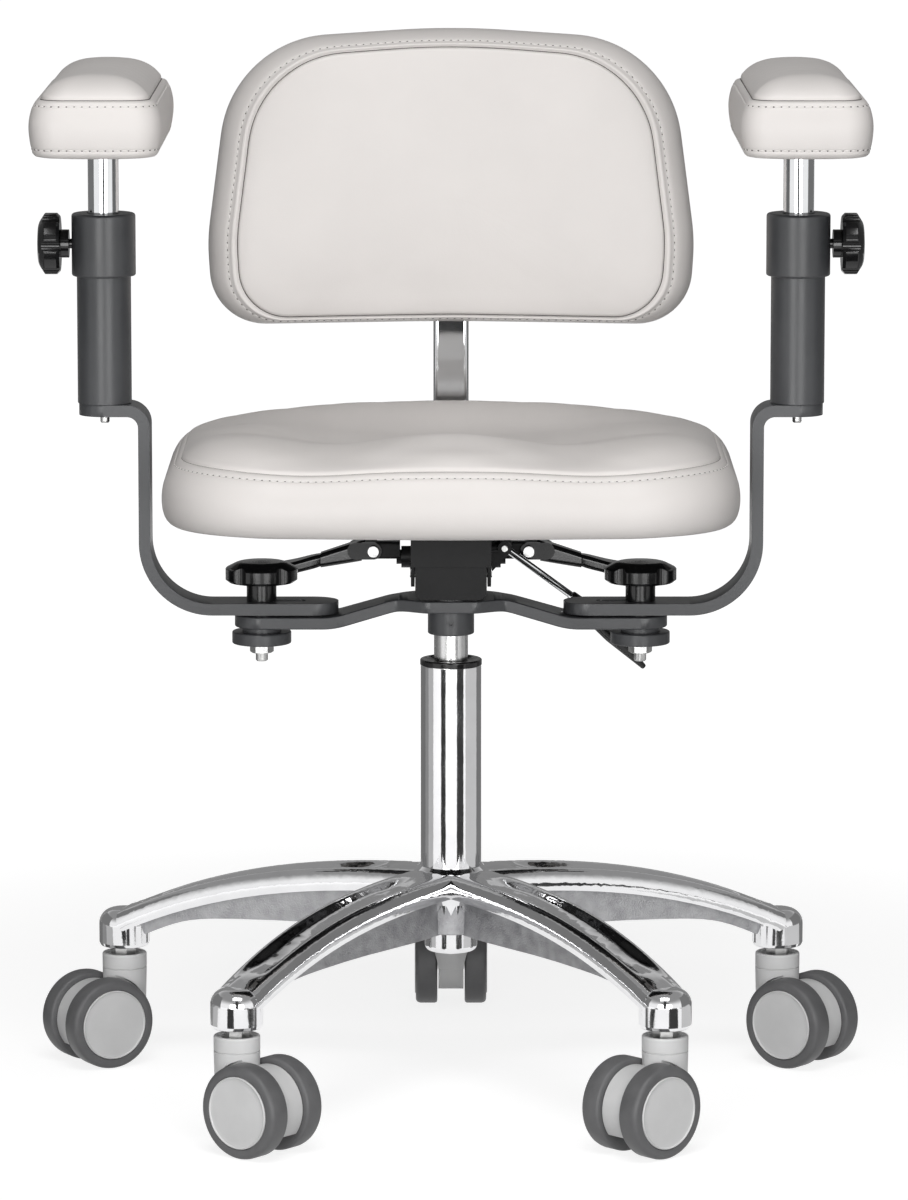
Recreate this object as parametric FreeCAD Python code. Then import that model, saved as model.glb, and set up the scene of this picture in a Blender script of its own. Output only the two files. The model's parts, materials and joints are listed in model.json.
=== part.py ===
"""Microscope chair on a five-star caster base with adjustable arm supports, seat and backrest.

Millimetres, +Z up. The origin is the floor point under the column axis. The sitter faces -Y.
"""
import FreeCAD, Part
import math
import os

os.makedirs("parts", exist_ok=True)
V = FreeCAD.Vector

# Fits shared by all pieces
running_fit = 0.06
loose_fit = 0.3
press_fit = 0.02
piece_gap = 0.6

# Casters
wheel_diameter = 75.0
wheel_width = 20.0
wheel_gap = 23.0
tread_thickness = 8.5
tread_shoulder = 4.0
cover_wall = 4.0
axle_diameter = 8.0
caster_trail = 26.0
caster_height = 92.0
caster_collar_diameter = 37.0
caster_ring_height = 12.0
fender_gap = 2.0
fender_inset = 5.0
stem_diameter = 11.0
stem_hex = 17.0
stem_gap = 6.0
stem_depth = 44.0
caster_angles = (-38.8, -137.0, -149.4, -38.7, 90.0)

# Five-star base
stem_circle_radius = 288.0
arm_angles = (-126.0, -54.0, 162.0, 18.0, 90.0)
tip_radius = 21.0
tip_height = 31.5
tip_dome = 13.0
arm_root_width = 52.0
arm_tip_width = 40.0
arm_root_drop = 3.0
arm_cap_height = 18.0
arm_fall = 2.66
arm_crown = 1.0
arm_swell = 0.8
arm_web_thickness = 10.0
arm_recess_depth = 5.0
hub_bottom = 129.0
hub_height = 55.0
hub_wall = 3.6

# Column and gas spring
column_diameter = 50.0
column_wall = 2.0
column_above_hub = 167.0
column_taper_top = 47.0
column_taper_bottom = 43.6
column_foot = 17.0
bushing_ring_height = 4.5
bushing_length = 62.0
inner_tube_diameter = 28.0
inner_tube_wall = 2.0
inner_tube_showing = 21.0
tube_end_wall = 10.0
lift_stroke = 130.0
rod_diameter = 10.0
bearing_height = 8.0
release_pin_diameter = 6.0
release_pin_height = 4.0
release_travel = 2.0

# Arm bracket and its friction hinges
clamp_collar_diameter = 38.0
clamp_collar_height = 21.0
set_screw_diameter = 7.0
plate_thickness = 10.0
plate_drop = 15.0
plate_centre_radius = 34.0
plate_neck_width = 38.0
plate_end_width = 44.0
plate_shelf = 44.0
plate_slope_end = 96.0
plate_bend = 60.0
hinge_x = 155.0
hinge_bolt_diameter = 10.0
pivot_washer_height = 1.6
pivot_washer_diameter = 34.0
lower_washer_height = 4.0
lower_washer_diameter = 32.0
disc_diameter = 48.5
disc_height = 10.0
nut_across_flats = 17.0
nut_height = 8.0
bolt_end = 7.0

# Arm bars
bar_thickness = 9.5
bar_width = 42.0
bar_inner_end = 63.0
arm_side_gap = 10.75
bar_lower_bend = 50.0
bar_upper_bend = 9.0
bar_rise = 163.0
width_travel = 30.0
star_neck_diameter = 24.5
star_neck_height = 15.0
star_diameter = 59.0
star_height = 18.0
star_lobes = 5

# Posts, rods and pads
post_offset = 32.5
post_diameter = 44.0
post_height = 104.0
sleeve_diameter = 52.0
sleeve_height = 51.0
pad_rod_diameter = 25.0
pad_rod_showing = 53.5
pad_rod_in_post = 96.0
pad_lift_down = 30.0
clamp_knob_diameter = 50.0
clamp_knob_thickness = 19.0
clamp_knob_lobes = 6
clamp_knob_neck_diameter = 23.0
clamp_knob_neck = 7.0
clamp_stud_diameter = 8.0
clamp_knob_drop = 25.0
pad_length = 280.0
pad_width = 108.0
pad_side_height = 45.0
pad_crown = 16.0
pad_corner = 24.0
pad_bulge = 8.5
pad_plate_length = 200.0
pad_plate_width = 66.0
pad_plate_thickness = 5.0
pad_pin_diameter = 12.0

# Mechanism under the seat
mechanism_gap = 5.0
housing_width = 58.0
housing_height = 27.0
housing_wall = 3.0
housing_corner = 8.0
housing_front = 58.0
housing_rear = 112.0
cup_wall = 4.0
carrier_wall = 3.0
carrier_height = 39.0
carrier_side_rear = 6.0
carrier_plate_width = 190.0
carrier_plate_length = 170.0
carrier_plate_thickness = 4.0
pivot_pin_diameter = 12.0
pivot_pin_proud = 0.8
seat_pivot_y = -26.0
pivot_rise = 20.0
lever_y = 49.0
lever_rise = 6.0
lever_shaft_diameter = 12.0
lever_boss_diameter = 18.0
lever_boss_length = 12.0
lever_stub_size = 14.0
lever_stub_end = 71.0
lever_pin_x = 64.0
lever_pin_diameter = 6.0
lever_ear = 3.0
lever_sleeve_length = 34.0
lever_grip_length = 52.0
lever_droop = 14.0
height_pivot_x = 44.0
height_pivot_y = 19.0
height_pin_diameter = 5.0
height_lug = 3.0
height_rod_diameter = 6.0
height_rod_length = 72.0
height_eye_length = 14.0
height_eye_wall = 3.2
height_socket = 1.4
height_grip_diameter = 13.0
height_grip_length = 92.0
height_rod_droop = 36.0
height_grip_droop = 44.0
height_rod_sweep = 22.0

# Seat
seat_width = 468.0
seat_depth = 410.0
seat_side_height = 51.0
seat_crown = 24.0
seat_corner_front = 92.0
seat_corner_rear = 150.0
seat_front_bow = 12.0
seat_front_arc = 900.0
seat_bulge = 9.0
seat_dish_depth = 13.0
seat_dish_y = 70.0
seat_dish_radius = 600.0
seat_groove_depth = 9.0
seat_groove_x = 98.0
seat_groove_radius = 150.0
seat_board_inset = 34.0
seat_board_thickness = 12.0

# Backrest and its bar
back_bar_width = 30.0
back_bar_thickness = 12.0
back_bar_clearance = 34.0
back_bar_bend = 44.0
back_bar_top = 830.0
back_pivot_y = 92.0
knuckle_width = 50.0
knuckle_length = 62.0
knuckle_height = 21.0
back_width = 412.0
back_height = 250.0
back_centre_z = 732.0
back_corner = 46.0
back_shoulder = 96.0
back_side_arc = 160.0
back_top_arc = 700.0
back_low_arc = 900.0
back_thickness = 58.0
back_side_inset = 27.0
back_top_inset = 9.0
back_front_crown = 7.0
back_board_inset = 22.0
back_board_thickness = 11.0
slider_width = 52.0
slider_length = 84.0
slider_wall = 5.0
slider_foot_thickness = 4.0
back_knob_diameter = 46.0
back_knob_thickness = 17.0
back_knob_lobes = 6
back_knob_neck = 8.0


def save(name, *shapes):
    """Write one node; several solids stay separate in it."""
    shape = shapes[0] if len(shapes) == 1 else Part.makeCompound(list(shapes))
    shape.exportStep("parts/" + name + ".step")


def plan(z):
    """Place an outline flat at height z."""
    return lambda u, v: V(u, v, z)


def front(y):
    """Place an outline upright across the chair at depth y."""
    return lambda u, v: V(u, y, v)


def side(x):
    """Place an outline upright along the chair at x."""
    return lambda u, v: V(x, u, v)


def loop(points, radii, place):
    """Closed outline through the points, each corner rounded by its radius."""
    count = len(points)
    starts = []
    ends = []
    middles = []
    for i in range(count):
        here = V(points[i][0], points[i][1], 0)
        before = V(points[i - 1][0], points[i - 1][1], 0) - here
        after = V(points[(i + 1) % count][0], points[(i + 1) % count][1], 0) - here
        before.normalize()
        after.normalize()
        radius = radii[i] if isinstance(radii, (list, tuple)) else radii
        half = before.getAngle(after) / 2
        if radius < 1e-6 or half > math.pi / 2 - 1e-4:
            starts.append(here)
            ends.append(here)
            middles.append(None)
            continue
        reach = radius / math.tan(half)
        middle = before + after
        middle.normalize()
        starts.append(here + before * reach)
        ends.append(here + after * reach)
        middles.append(here + middle * (radius / math.sin(half) - radius))
    edges = []
    for i in range(count):
        start = place(starts[i].x, starts[i].y)
        end = place(ends[i].x, ends[i].y)
        if middles[i] is not None:
            edges.append(Part.Arc(start, place(middles[i].x, middles[i].y), end).toShape())
        nxt = place(starts[(i + 1) % count].x, starts[(i + 1) % count].y)
        if end.distanceToPoint(nxt) > 1e-5:
            edges.append(Part.makeLine(end, nxt))
    return Part.Wire(edges)


def prism(points, radii, place, direction):
    """Extrude a rounded outline."""
    return Part.Face(loop(points, radii, place)).extrude(direction)


def turned(points, radii=0.0, centre=V(0, 0, 0)):
    """Revolve a (radius, height) outline about a vertical axis."""
    face = Part.Face(loop(points, radii, front(0)))
    shape = face.revolve(V(0, 0, 0), V(0, 0, 1), 360)
    shape.translate(centre)
    return shape


def rod(radius, start, end):
    """Round bar between two points."""
    start = V(*start)
    direction = V(*end) - start
    return Part.makeCylinder(radius, direction.Length, start, direction)


def block(x0, x1, y0, y1, z0, z1):
    """Upright box between limits."""
    return Part.makeBox(x1 - x0, y1 - y0, z1 - z0, V(x0, y0, z0))


def hexagon(across, z0, z1, centre=(0, 0)):
    """Hexagonal bar on a vertical axis."""
    reach = across / math.sqrt(3)
    corners = [
        (centre[0] + reach * math.cos(math.radians(60 * i)), centre[1] + reach * math.sin(math.radians(60 * i)))
        for i in range(6)
    ]
    return prism(corners, 0.0, plan(z0), V(0, 0, z1 - z0))


def stadium(x0, x1, half, z0, z1):
    """Upright slot shape along X with round ends."""
    points = [(x0 - half, -half), (x1 + half, -half), (x1 + half, half), (x0 - half, half)]
    return prism(points, half, plan(z0), V(0, 0, z1 - z0))


def strip(points, bends, thickness, place, direction):
    """Bent flat bar: centre line points with an inside radius at each bend."""
    left = []
    right = []
    left_radius = []
    right_radius = []
    last = len(points) - 1
    for i, point in enumerate(points):
        here = V(point[0], point[1], 0)
        coming = here - V(*points[i - 1], 0) if i > 0 else V(*points[1], 0) - here
        going = V(*points[i + 1], 0) - here if i < last else coming
        coming.normalize()
        going.normalize()
        turn = coming.x * going.y - coming.y * going.x
        across = V(-coming.y - going.y, coming.x + going.x, 0)
        across.normalize()
        reach = thickness / 2 / across.dot(V(-coming.y, coming.x, 0))
        left.append((here.x + across.x * reach, here.y + across.y * reach))
        right.append((here.x - across.x * reach, here.y - across.y * reach))
        bend = bends[i - 1] if 0 < i < last else 0.0
        inside = bend
        outside = bend + thickness if bend > 0 else 0.0
        left_radius.append(inside if turn > 0 else outside)
        right_radius.append(outside if turn > 0 else inside)
    outline = left + right[::-1]
    radii = left_radius + right_radius[::-1]
    return prism(outline, radii, place, direction)


def turn_z(shape, angle, centre=V(0, 0, 0)):
    """Copy turned about a vertical axis."""
    copy = shape.copy()
    copy.rotate(centre, V(0, 0, 1), angle)
    return copy


def moved(shape, x, y, z):
    """Copy shifted by an offset."""
    copy = shape.copy()
    copy.translate(V(x, y, z))
    return copy


def mirrored(shape):
    """Copy on the other side of the chair."""
    return shape.mirror(V(0, 0, 0), V(1, 0, 0))


def polar(radius, angle):
    """Plan point at a distance and an angle in degrees."""
    return radius * math.cos(math.radians(angle)), radius * math.sin(math.radians(angle))


def smooth_step(value, low, high):
    """Soft switch from 0 to 1."""
    share = min(1.0, max(0.0, (value - low) / (high - low)))
    return share * share * (3 - 2 * share)


def lobed(diameter, lobes, z0, z1):
    """Knob grip: a round disc with narrow scallops between its lobes."""
    outer = diameter / 2
    scallop = outer * 0.17
    grip = Part.makeCylinder(outer, z1 - z0, V(0, 0, z0))
    centres = [V(*polar(outer + scallop * 0.25, 360.0 / lobes * (i + 0.5)), z0) for i in range(lobes)]
    for centre in centres:
        grip = grip.cut(Part.makeCylinder(scallop, z1 - z0, centre))
    corners = []
    for edge in grip.Edges:
        middle = edge.CenterOfMass
        flat = V(middle.x, middle.y, z0)
        on_disc = abs(math.hypot(middle.x, middle.y) - outer) < 1e-4
        on_scallop = min(abs(flat.distanceToPoint(centre) - scallop) for centre in centres) < 1e-4
        if on_disc and on_scallop:
            corners.append(edge)
    return grip.makeFillet(outer * 0.09, corners)


def knob(diameter, lobes, thickness, neck_diameter, neck):
    """Lobed hand knob standing on its neck at height 0, with a domed top and a bevelled underside."""
    top = neck + thickness
    grip = lobed(diameter, lobes, neck, top)
    outer = diameter / 2
    envelope = turned(
        [
            (0, neck),
            (outer * 0.9, neck),
            (outer * 1.02, neck + thickness * 0.16),
            (outer * 1.02, top - thickness * 0.36),
            (outer * 0.66, top - thickness * 0.06),
            (0, top),
        ],
        [0, outer * 0.06, outer * 0.06, outer * 0.14, outer * 0.5, 0],
    )
    stem = Part.makeCylinder(neck_diameter / 2, neck + thickness * 0.5)
    return grip.common(envelope).fuse(stem).removeSplitter()


# Heights built up from the floor
wheel_radius = wheel_diameter / 2
tip_bottom = caster_height + stem_gap
tip_top = tip_bottom + tip_height
hub_top = hub_bottom + hub_height
column_bottom = hub_bottom - column_foot
column_top = hub_top + column_above_hub
bushing_top = column_top + bushing_ring_height
collar_bottom = bushing_top + inner_tube_showing
plate_bottom = collar_bottom + clamp_collar_height
plate_top = plate_bottom + plate_thickness
housing_bottom = plate_top + mechanism_gap
housing_top = housing_bottom + housing_height
pivot_z = housing_bottom + pivot_rise
lever_z = pivot_z + lever_rise
carrier_top = housing_top + carrier_height
board_bottom = carrier_top
board_top = board_bottom + seat_board_thickness
seat_bottom = board_bottom + 1.0
seam_z = seat_bottom + seat_side_height
shelf_top = plate_top - plate_drop
shelf_bottom = shelf_top - plate_thickness
bar_bottom = shelf_top + pivot_washer_height
bar_top = bar_bottom + bar_thickness
bar_upright_x = seat_width / 2 + arm_side_gap + bar_thickness / 2
post_x = bar_upright_x + post_offset
tab_z = bar_bottom + bar_thickness / 2 + bar_rise
tab_top = tab_z + bar_thickness / 2
post_top = tab_top + post_height
sleeve_top = post_top + sleeve_height
pad_plate_bottom = sleeve_top + pad_rod_showing
pad_bottom = pad_plate_bottom + 1.0
disc_top = shelf_bottom - lower_washer_height
disc_bottom = disc_top - disc_height
nut_bottom = disc_bottom - nut_height

# Casters: stem axis at the origin, trail along +X, axle along Y
core_radius = wheel_radius - tread_thickness
axle_radius = axle_diameter / 2
bore_radius = axle_radius + running_fit
inner_face = wheel_gap / 2
fender_radius = wheel_radius - fender_inset
stem_radius = stem_diameter / 2


def wheel_solids():
    """Wheel core with its cover and the bonded tread, inner face at height 0, axis vertical."""
    outer = wheel_width
    core = turned(
        [
            (0, outer - cover_wall),
            (bore_radius, outer - cover_wall),
            (bore_radius, 0),
            (bore_radius + 4.0, 0),
            (bore_radius + 4.0, 3.0),
            (core_radius - 4.0, 3.0),
            (core_radius - 4.0, 0.8),
            (core_radius, 0.8),
            (core_radius, outer - 0.6),
            (core_radius - 1.0, outer),
            (core_radius - 2.4, outer),
            (core_radius - 3.2, outer - 1.2),
            (core_radius * 0.5, outer - 0.7),
            (0, outer - 0.5),
        ]
    )
    tread = turned(
        [
            (core_radius, 0.4),
            (wheel_radius, 0.4),
            (wheel_radius, outer - 0.8),
            (core_radius, outer - 0.8),
        ],
        [0, tread_shoulder * 0.6, tread_shoulder, 0],
    )
    return core, tread


def caster_housing():
    """Fender between the wheels with the collar round the stem, and the axle pressed through it."""
    half = inner_face - piece_gap
    drum = rod(fender_radius, (caster_trail, -half, wheel_radius), (caster_trail, half, wheel_radius))
    ring_bottom = caster_height - caster_ring_height
    collar_radius = caster_collar_diameter / 2
    collar = turned(
        [
            (0, wheel_radius),
            (collar_radius - 1.0, wheel_radius),
            (collar_radius, ring_bottom - 1.0),
            (collar_radius - 0.8, ring_bottom - 0.6),
            (collar_radius - 0.8, ring_bottom),
            (collar_radius, ring_bottom + 0.4),
            (collar_radius, caster_height),
            (collar_radius - 3.0, caster_height),
            (collar_radius - 3.6, caster_height - 1.2),
            (collar_radius - 5.4, caster_height - 1.2),
            (collar_radius - 5.8, caster_height - 4.0),
            (0, caster_height - 4.0),
        ],
        [0, 0, 0, 0, 0, 0, 1.6, 0.5, 0, 0, 0, 0],
    )
    for way in (-1, 1):
        clearance = rod(
            wheel_radius + fender_gap,
            (caster_trail, way * half, wheel_radius),
            (caster_trail, way * (half + caster_collar_diameter), wheel_radius),
        )
        collar = collar.cut(clearance)
    body = drum.fuse(collar)
    reach = caster_trail + wheel_diameter
    open_under = wheel_radius * 0.46
    body = body.cut(block(-reach, reach, -reach, reach, -reach, open_under))
    hollow = rod(fender_radius - 3.0, (caster_trail, 3.0 - half, wheel_radius), (caster_trail, half - 3.0, wheel_radius))
    hollow = hollow.common(block(-reach, reach, -half, half, 0, wheel_radius - axle_diameter))
    body = body.cut(hollow)
    stem_hole = rod(
        stem_radius + running_fit,
        (0, 0, caster_height - stem_depth - 1.0),
        (0, 0, caster_height + 1.0),
    )
    body = body.cut(stem_hole)
    body = body.cut(rod(axle_radius + press_fit, (caster_trail, -reach, wheel_radius), (caster_trail, reach, wheel_radius)))
    end = inner_face + wheel_width - cover_wall - piece_gap
    axle = rod(axle_radius, (caster_trail, -end, wheel_radius), (caster_trail, end, wheel_radius))
    return body.removeSplitter(), axle


core, tread = wheel_solids()
housing, axle = caster_housing()
left_wheel = []
right_wheel = []
for solid in (core, tread):
    one = solid.copy()
    one.rotate(V(0, 0, 0), V(1, 0, 0), -90)
    one.translate(V(caster_trail, inner_face, wheel_radius))
    left_wheel.append(one)
    two = solid.copy()
    two.rotate(V(0, 0, 0), V(1, 0, 0), 90)
    two.translate(V(caster_trail, -inner_face, wheel_radius))
    right_wheel.append(two)
stem_pin = turned(
    [
        (0, caster_height - stem_depth),
        (stem_radius - 1.0, caster_height - stem_depth),
        (stem_radius, caster_height - stem_depth + 1.0),
        (stem_radius, tip_bottom + tip_height * 0.6),
        (stem_radius - 1.0, tip_bottom + tip_height * 0.6 + 1.0),
        (0, tip_bottom + tip_height * 0.6 + 1.0),
    ]
)
stem = stem_pin.fuse(hexagon(stem_hex, caster_height - 3.4, tip_bottom)).removeSplitter()
stems = []
for number, arm_angle in enumerate(arm_angles):
    x, y = polar(stem_circle_radius, arm_angle)
    angle = caster_angles[number]
    tag = "caster" + str(number + 1)
    save(tag + "_housing", moved(turn_z(housing, angle), x, y, 0), moved(turn_z(axle, angle), x, y, 0))
    save(tag + "_wheel_left", *[moved(turn_z(s, angle), x, y, 0) for s in left_wheel])
    save(tag + "_wheel_right", *[moved(turn_z(s, angle), x, y, 0) for s in right_wheel])
    stems.append(moved(turn_z(stem, arm_angle), x, y, 0))
save("caster_stems", *stems)

# Five-star base: one arm along +X, then the pattern
cone_top = column_taper_top / 2
cone_bottom = column_taper_bottom / 2


arm_tip_top = tip_top - 1.0


def arm_top(share):
    """Height of the arm's rims: level at the hub, falling ever faster towards the tip."""
    return arm_tip_top + (hub_top - arm_root_drop - arm_tip_top) * (1 - share**arm_fall)


def arm_section(share):
    """Cross-section of the polished arm: flat underside, swelling sides, two rims with a hollow between."""
    reach = stem_circle_radius * share
    half = arm_root_width / 2 + (arm_tip_width - arm_root_width) / 2 * share
    high = arm_top(share)
    low = high - arm_cap_height
    hollow = smooth_step(share, 0.14, 0.26) * (1 - smooth_step(share, 0.84, 0.96))
    sink = arm_recess_depth * hollow - arm_crown * (1 - hollow)
    right = [
        (half, low),
        (half + arm_swell, low + arm_cap_height * 0.4),
        (half * 0.96, low + arm_cap_height * 0.72),
        (half * 0.84, low + arm_cap_height * 0.92),
        (half * 0.68, high),
        (half * 0.53, high - sink * 0.28),
        (half * 0.38, high - sink * 0.86),
    ]
    left = [(-y, z) for y, z in reversed(right)]
    skin = Part.BSplineCurve()
    skin.interpolate([V(reach, y, z) for y, z in right + [(0, high - sink)] + left])
    underside = Part.makeLine(V(reach, -half, low), V(reach, half, low))
    return Part.Wire([underside, skin.toShape()])


arm_shares = (0.06, 0.13, 0.19, 0.25, 0.35, 0.48, 0.62, 0.75, 0.84, 0.9, 0.95, 1.0)
arm_skin = Part.makeLoft([arm_section(share) for share in arm_shares], True, False)
web_line = (
    (0.05, hub_bottom),
    (0.42, hub_bottom - 0.7),
    (0.68, hub_bottom - 2.5),
    (0.81, hub_bottom - 7.0),
    (0.89, tip_bottom + tip_height * 0.5),
    (0.94, tip_bottom + tip_height * 0.3),
)
web_edge = Part.BSplineCurve()
web_edge.interpolate([V(stem_circle_radius * share, 0, z) for share, z in web_line])
web_top = [V(stem_circle_radius * share, 0, arm_top(share) - arm_cap_height * 0.6) for share in (0.94, 0.75, 0.5, 0.05)]
web_rim = [web_edge.EndPoint] + web_top + [web_edge.StartPoint]
web_wire = Part.Wire([web_edge.toShape()] + [Part.makeLine(a, b) for a, b in zip(web_rim, web_rim[1:])])
web = Part.Face(web_wire).extrude(V(0, arm_web_thickness, 0))
web.translate(V(0, -arm_web_thickness / 2, 0))
tip = turned(
    [
        (0, tip_bottom),
        (tip_radius - 1.5, tip_bottom),
        (tip_radius, tip_bottom + 3.0),
        (tip_radius, tip_top),
        (0, tip_top),
    ],
    [0, 1.0, 0, tip_dome, 0],
    V(stem_circle_radius, 0, 0),
)
base = turned(
    [
        (0, hub_bottom),
        (cone_bottom + hub_wall - 1.0, hub_bottom),
        (cone_bottom + hub_wall, hub_bottom + 1.0),
        (cone_bottom + hub_wall + 1.0, hub_bottom + hub_height * 0.45),
        (column_diameter / 2 + 10.0, hub_top - arm_cap_height),
        (column_diameter / 2 + 9.0, hub_top - 7.0),
        (column_diameter / 2 + 1.2, hub_top),
        (0, hub_top),
    ],
    [0, 0, 0, 0, 2.0, 3.0, 0, 0],
)
arm = arm_skin.fuse(web).fuse(tip)
for angle in arm_angles:
    base = base.fuse(turn_z(arm, angle))
cone = Part.makeCone(
    cone_bottom + press_fit,
    cone_top + press_fit,
    hub_height + 0.2,
    V(0, 0, hub_bottom - 0.1),
)
foot_room = Part.makeCylinder(cone_bottom + press_fit, column_foot, V(0, 0, hub_bottom - column_foot))
base = base.cut(cone).cut(foot_room)
for angle in arm_angles:
    x, y = polar(stem_circle_radius, angle)
    base = base.cut(rod(stem_radius + press_fit, (x, y, tip_bottom - 1.0), (x, y, tip_bottom + tip_height * 0.6 + 2.0)))
save("star_base", base.removeSplitter())

# Column tube, guide bushing, piston rod, thrust bearing
column_radius = column_diameter / 2
tube_radius = inner_tube_diameter / 2
rod_radius = rod_diameter / 2
tube_bore = cone_bottom - column_wall
foot_radius = cone_bottom - 0.3
column = turned(
    [
        (rod_radius + running_fit, column_bottom),
        (foot_radius, column_bottom),
        (foot_radius, hub_bottom),
        (cone_bottom, hub_bottom),
        (cone_top, hub_top + press_fit),
        (column_radius, hub_top + press_fit),
        (column_radius, column_top),
        (tube_bore, column_top),
        (tube_bore, column_bottom + column_wall * 1.5),
        (rod_radius + running_fit, column_bottom + column_wall * 1.5),
    ],
    [0, 5.0, 0, 0, 0, 0, 0.8, 0, 3.0, 0],
)
save("column_tube", column)
guide_radius = tube_radius + running_fit
bushing = turned(
    [
        (guide_radius, column_top - bushing_length),
        (tube_bore - press_fit, column_top - bushing_length),
        (tube_bore - press_fit, column_top),
        (column_radius + 0.4, column_top),
        (column_radius + 0.4, bushing_top),
        (column_radius - 3.0, bushing_top),
        (guide_radius + 2.0, bushing_top - 2.0),
        (guide_radius, bushing_top - 2.0),
    ],
    [0, 0, 0, 0, 1.4, 0.5, 0, 0],
)
save("column_bushing", bushing)
bearing_bottom = column_bottom + column_wall * 1.5 + 0.05
bearing_top = bearing_bottom + bearing_height
bearing = turned(
    [
        (rod_radius + press_fit, bearing_bottom),
        (rod_radius + 7.0, bearing_bottom),
        (rod_radius + 7.0, bearing_bottom + bearing_height * 0.3),
        (rod_radius + 5.6, bearing_bottom + bearing_height * 0.5),
        (rod_radius + 7.0, bearing_bottom + bearing_height * 0.7),
        (rod_radius + 7.0, bearing_top),
        (rod_radius + press_fit, bearing_top),
    ]
)
save("thrust_bearing", bearing)
tube_bottom = bearing_top + 6.0
tube_inside = tube_radius - inner_tube_wall
piston_bottom = tube_bottom + tube_end_wall + lift_stroke + 12.0
piston = turned(
    [
        (0, column_bottom - 3.0),
        (rod_radius, column_bottom - 3.0),
        (rod_radius, bearing_top + 0.02),
        (rod_radius + 2.5, bearing_top + 0.02),
        (rod_radius + 2.5, bearing_top + 3.0),
        (rod_radius, bearing_top + 3.0),
        (rod_radius, piston_bottom),
        (tube_inside - running_fit, piston_bottom),
        (tube_inside - running_fit, piston_bottom + 12.0),
        (0, piston_bottom + 12.0),
    ],
    [0, 1.0, 0, 0, 0, 0, 0, 1.0, 1.0, 0],
)
save("piston_rod", piston)
tube_top = housing_top - 2.0
pin_top = tube_top + release_pin_height
pin_radius = release_pin_diameter / 2
pressure_tube = turned(
    [
        (rod_radius + running_fit, tube_bottom),
        (tube_radius, tube_bottom),
        (tube_radius, tube_top),
        (pin_radius + running_fit, tube_top),
        (pin_radius + running_fit, tube_top - tube_end_wall),
        (tube_inside, tube_top - tube_end_wall),
        (tube_inside, tube_bottom + tube_end_wall),
        (rod_radius + running_fit, tube_bottom + tube_end_wall),
    ],
    [0, 2.0, 1.5, 0, 0, 0, 0, 0],
)
save("pressure_tube", pressure_tube)
release_pin = turned(
    [
        (0, tube_top - tube_end_wall - 6.0),
        (pin_radius + 2.0, tube_top - tube_end_wall - 6.0),
        (pin_radius + 2.0, tube_top - tube_end_wall - loose_fit),
        (pin_radius, tube_top - tube_end_wall - loose_fit),
        (pin_radius, pin_top),
        (0, pin_top),
    ],
    [0, 0.5, 0, 0, 1.2, 0],
)
save("release_pin", release_pin)

# Clamp collar and gull-wing bracket
collar = turned(
    [
        (tube_radius + press_fit, collar_bottom),
        (clamp_collar_diameter / 2, collar_bottom),
        (clamp_collar_diameter / 2, plate_bottom),
        (tube_radius + press_fit, plate_bottom),
    ],
    [0, 1.2, 0.4, 0],
)
screw_z = (collar_bottom + plate_bottom) / 2
collar = collar.cut(rod(set_screw_diameter / 2, (0, -tube_radius, screw_z), (0, -clamp_collar_diameter, screw_z)))
set_screw = rod(
    set_screw_diameter / 2 - press_fit,
    (0, -tube_radius - 0.1, screw_z),
    (0, 0.6 - clamp_collar_diameter / 2, screw_z),
)
socket = hexagon(set_screw_diameter * 0.5, 0, 3.0)
socket.rotate(V(0, 0, 0), V(1, 0, 0), 90)
socket.translate(V(0, 3.0 - clamp_collar_diameter / 2, screw_z))
save("clamp_collar", collar, set_screw.cut(socket))
plate_mid = plate_bottom + plate_thickness / 2
shelf_mid = shelf_bottom + plate_thickness / 2
plate_end = hinge_x + plate_end_width / 2
wing = strip(
    [
        (-plate_end, shelf_mid),
        (-plate_slope_end, shelf_mid),
        (-plate_shelf, plate_mid),
        (plate_shelf, plate_mid),
        (plate_slope_end, shelf_mid),
        (plate_end, shelf_mid),
    ],
    [plate_bend] * 4,
    plate_thickness,
    front(-plate_centre_radius),
    V(0, plate_centre_radius * 2, 0),
)
end_half = plate_end_width / 2
neck_half = plate_neck_width / 2
wing_plan = prism(
    [
        (-plate_end, -end_half),
        (-plate_slope_end, -end_half),
        (-plate_shelf, -neck_half),
        (-plate_centre_radius * 0.62, -plate_centre_radius),
        (plate_centre_radius * 0.62, -plate_centre_radius),
        (plate_shelf, -neck_half),
        (plate_slope_end, -end_half),
        (plate_end, -end_half),
        (plate_end, end_half),
        (plate_slope_end, end_half),
        (plate_shelf, neck_half),
        (plate_centre_radius * 0.62, plate_centre_radius),
        (-plate_centre_radius * 0.62, plate_centre_radius),
        (-plate_shelf, neck_half),
        (-plate_slope_end, end_half),
        (-plate_end, end_half),
    ],
    [end_half, 40.0, 6.0, 14.0, 14.0, 6.0, 40.0, end_half, end_half, 40.0, 6.0, 14.0, 14.0, 6.0, 40.0, end_half],
    plan(shelf_bottom - 5.0),
    V(0, 0, plate_top - shelf_bottom + 10.0),
)
bracket = wing.common(wing_plan)
bracket = bracket.cut(rod(tube_radius + press_fit, (0, 0, plate_bottom - 1.0), (0, 0, plate_top + 1.0)))
bolt_radius = hinge_bolt_diameter / 2
for way in (-1, 1):
    bolt_hole = rod(bolt_radius + press_fit, (way * hinge_x, 0, shelf_bottom - 1.0), (way * hinge_x, 0, shelf_top + 1.0))
    bracket = bracket.cut(bolt_hole)
save("arm_bracket", bracket)
disc = turned(
    [
        (bolt_radius + press_fit, disc_bottom),
        (disc_diameter / 2, disc_bottom),
        (disc_diameter / 2, disc_top),
        (lower_washer_diameter / 2, disc_top),
        (lower_washer_diameter / 2, shelf_bottom),
        (bolt_radius + press_fit, shelf_bottom),
    ],
    [0, 1.2, 1.2, 0, 0, 0],
)
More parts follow.
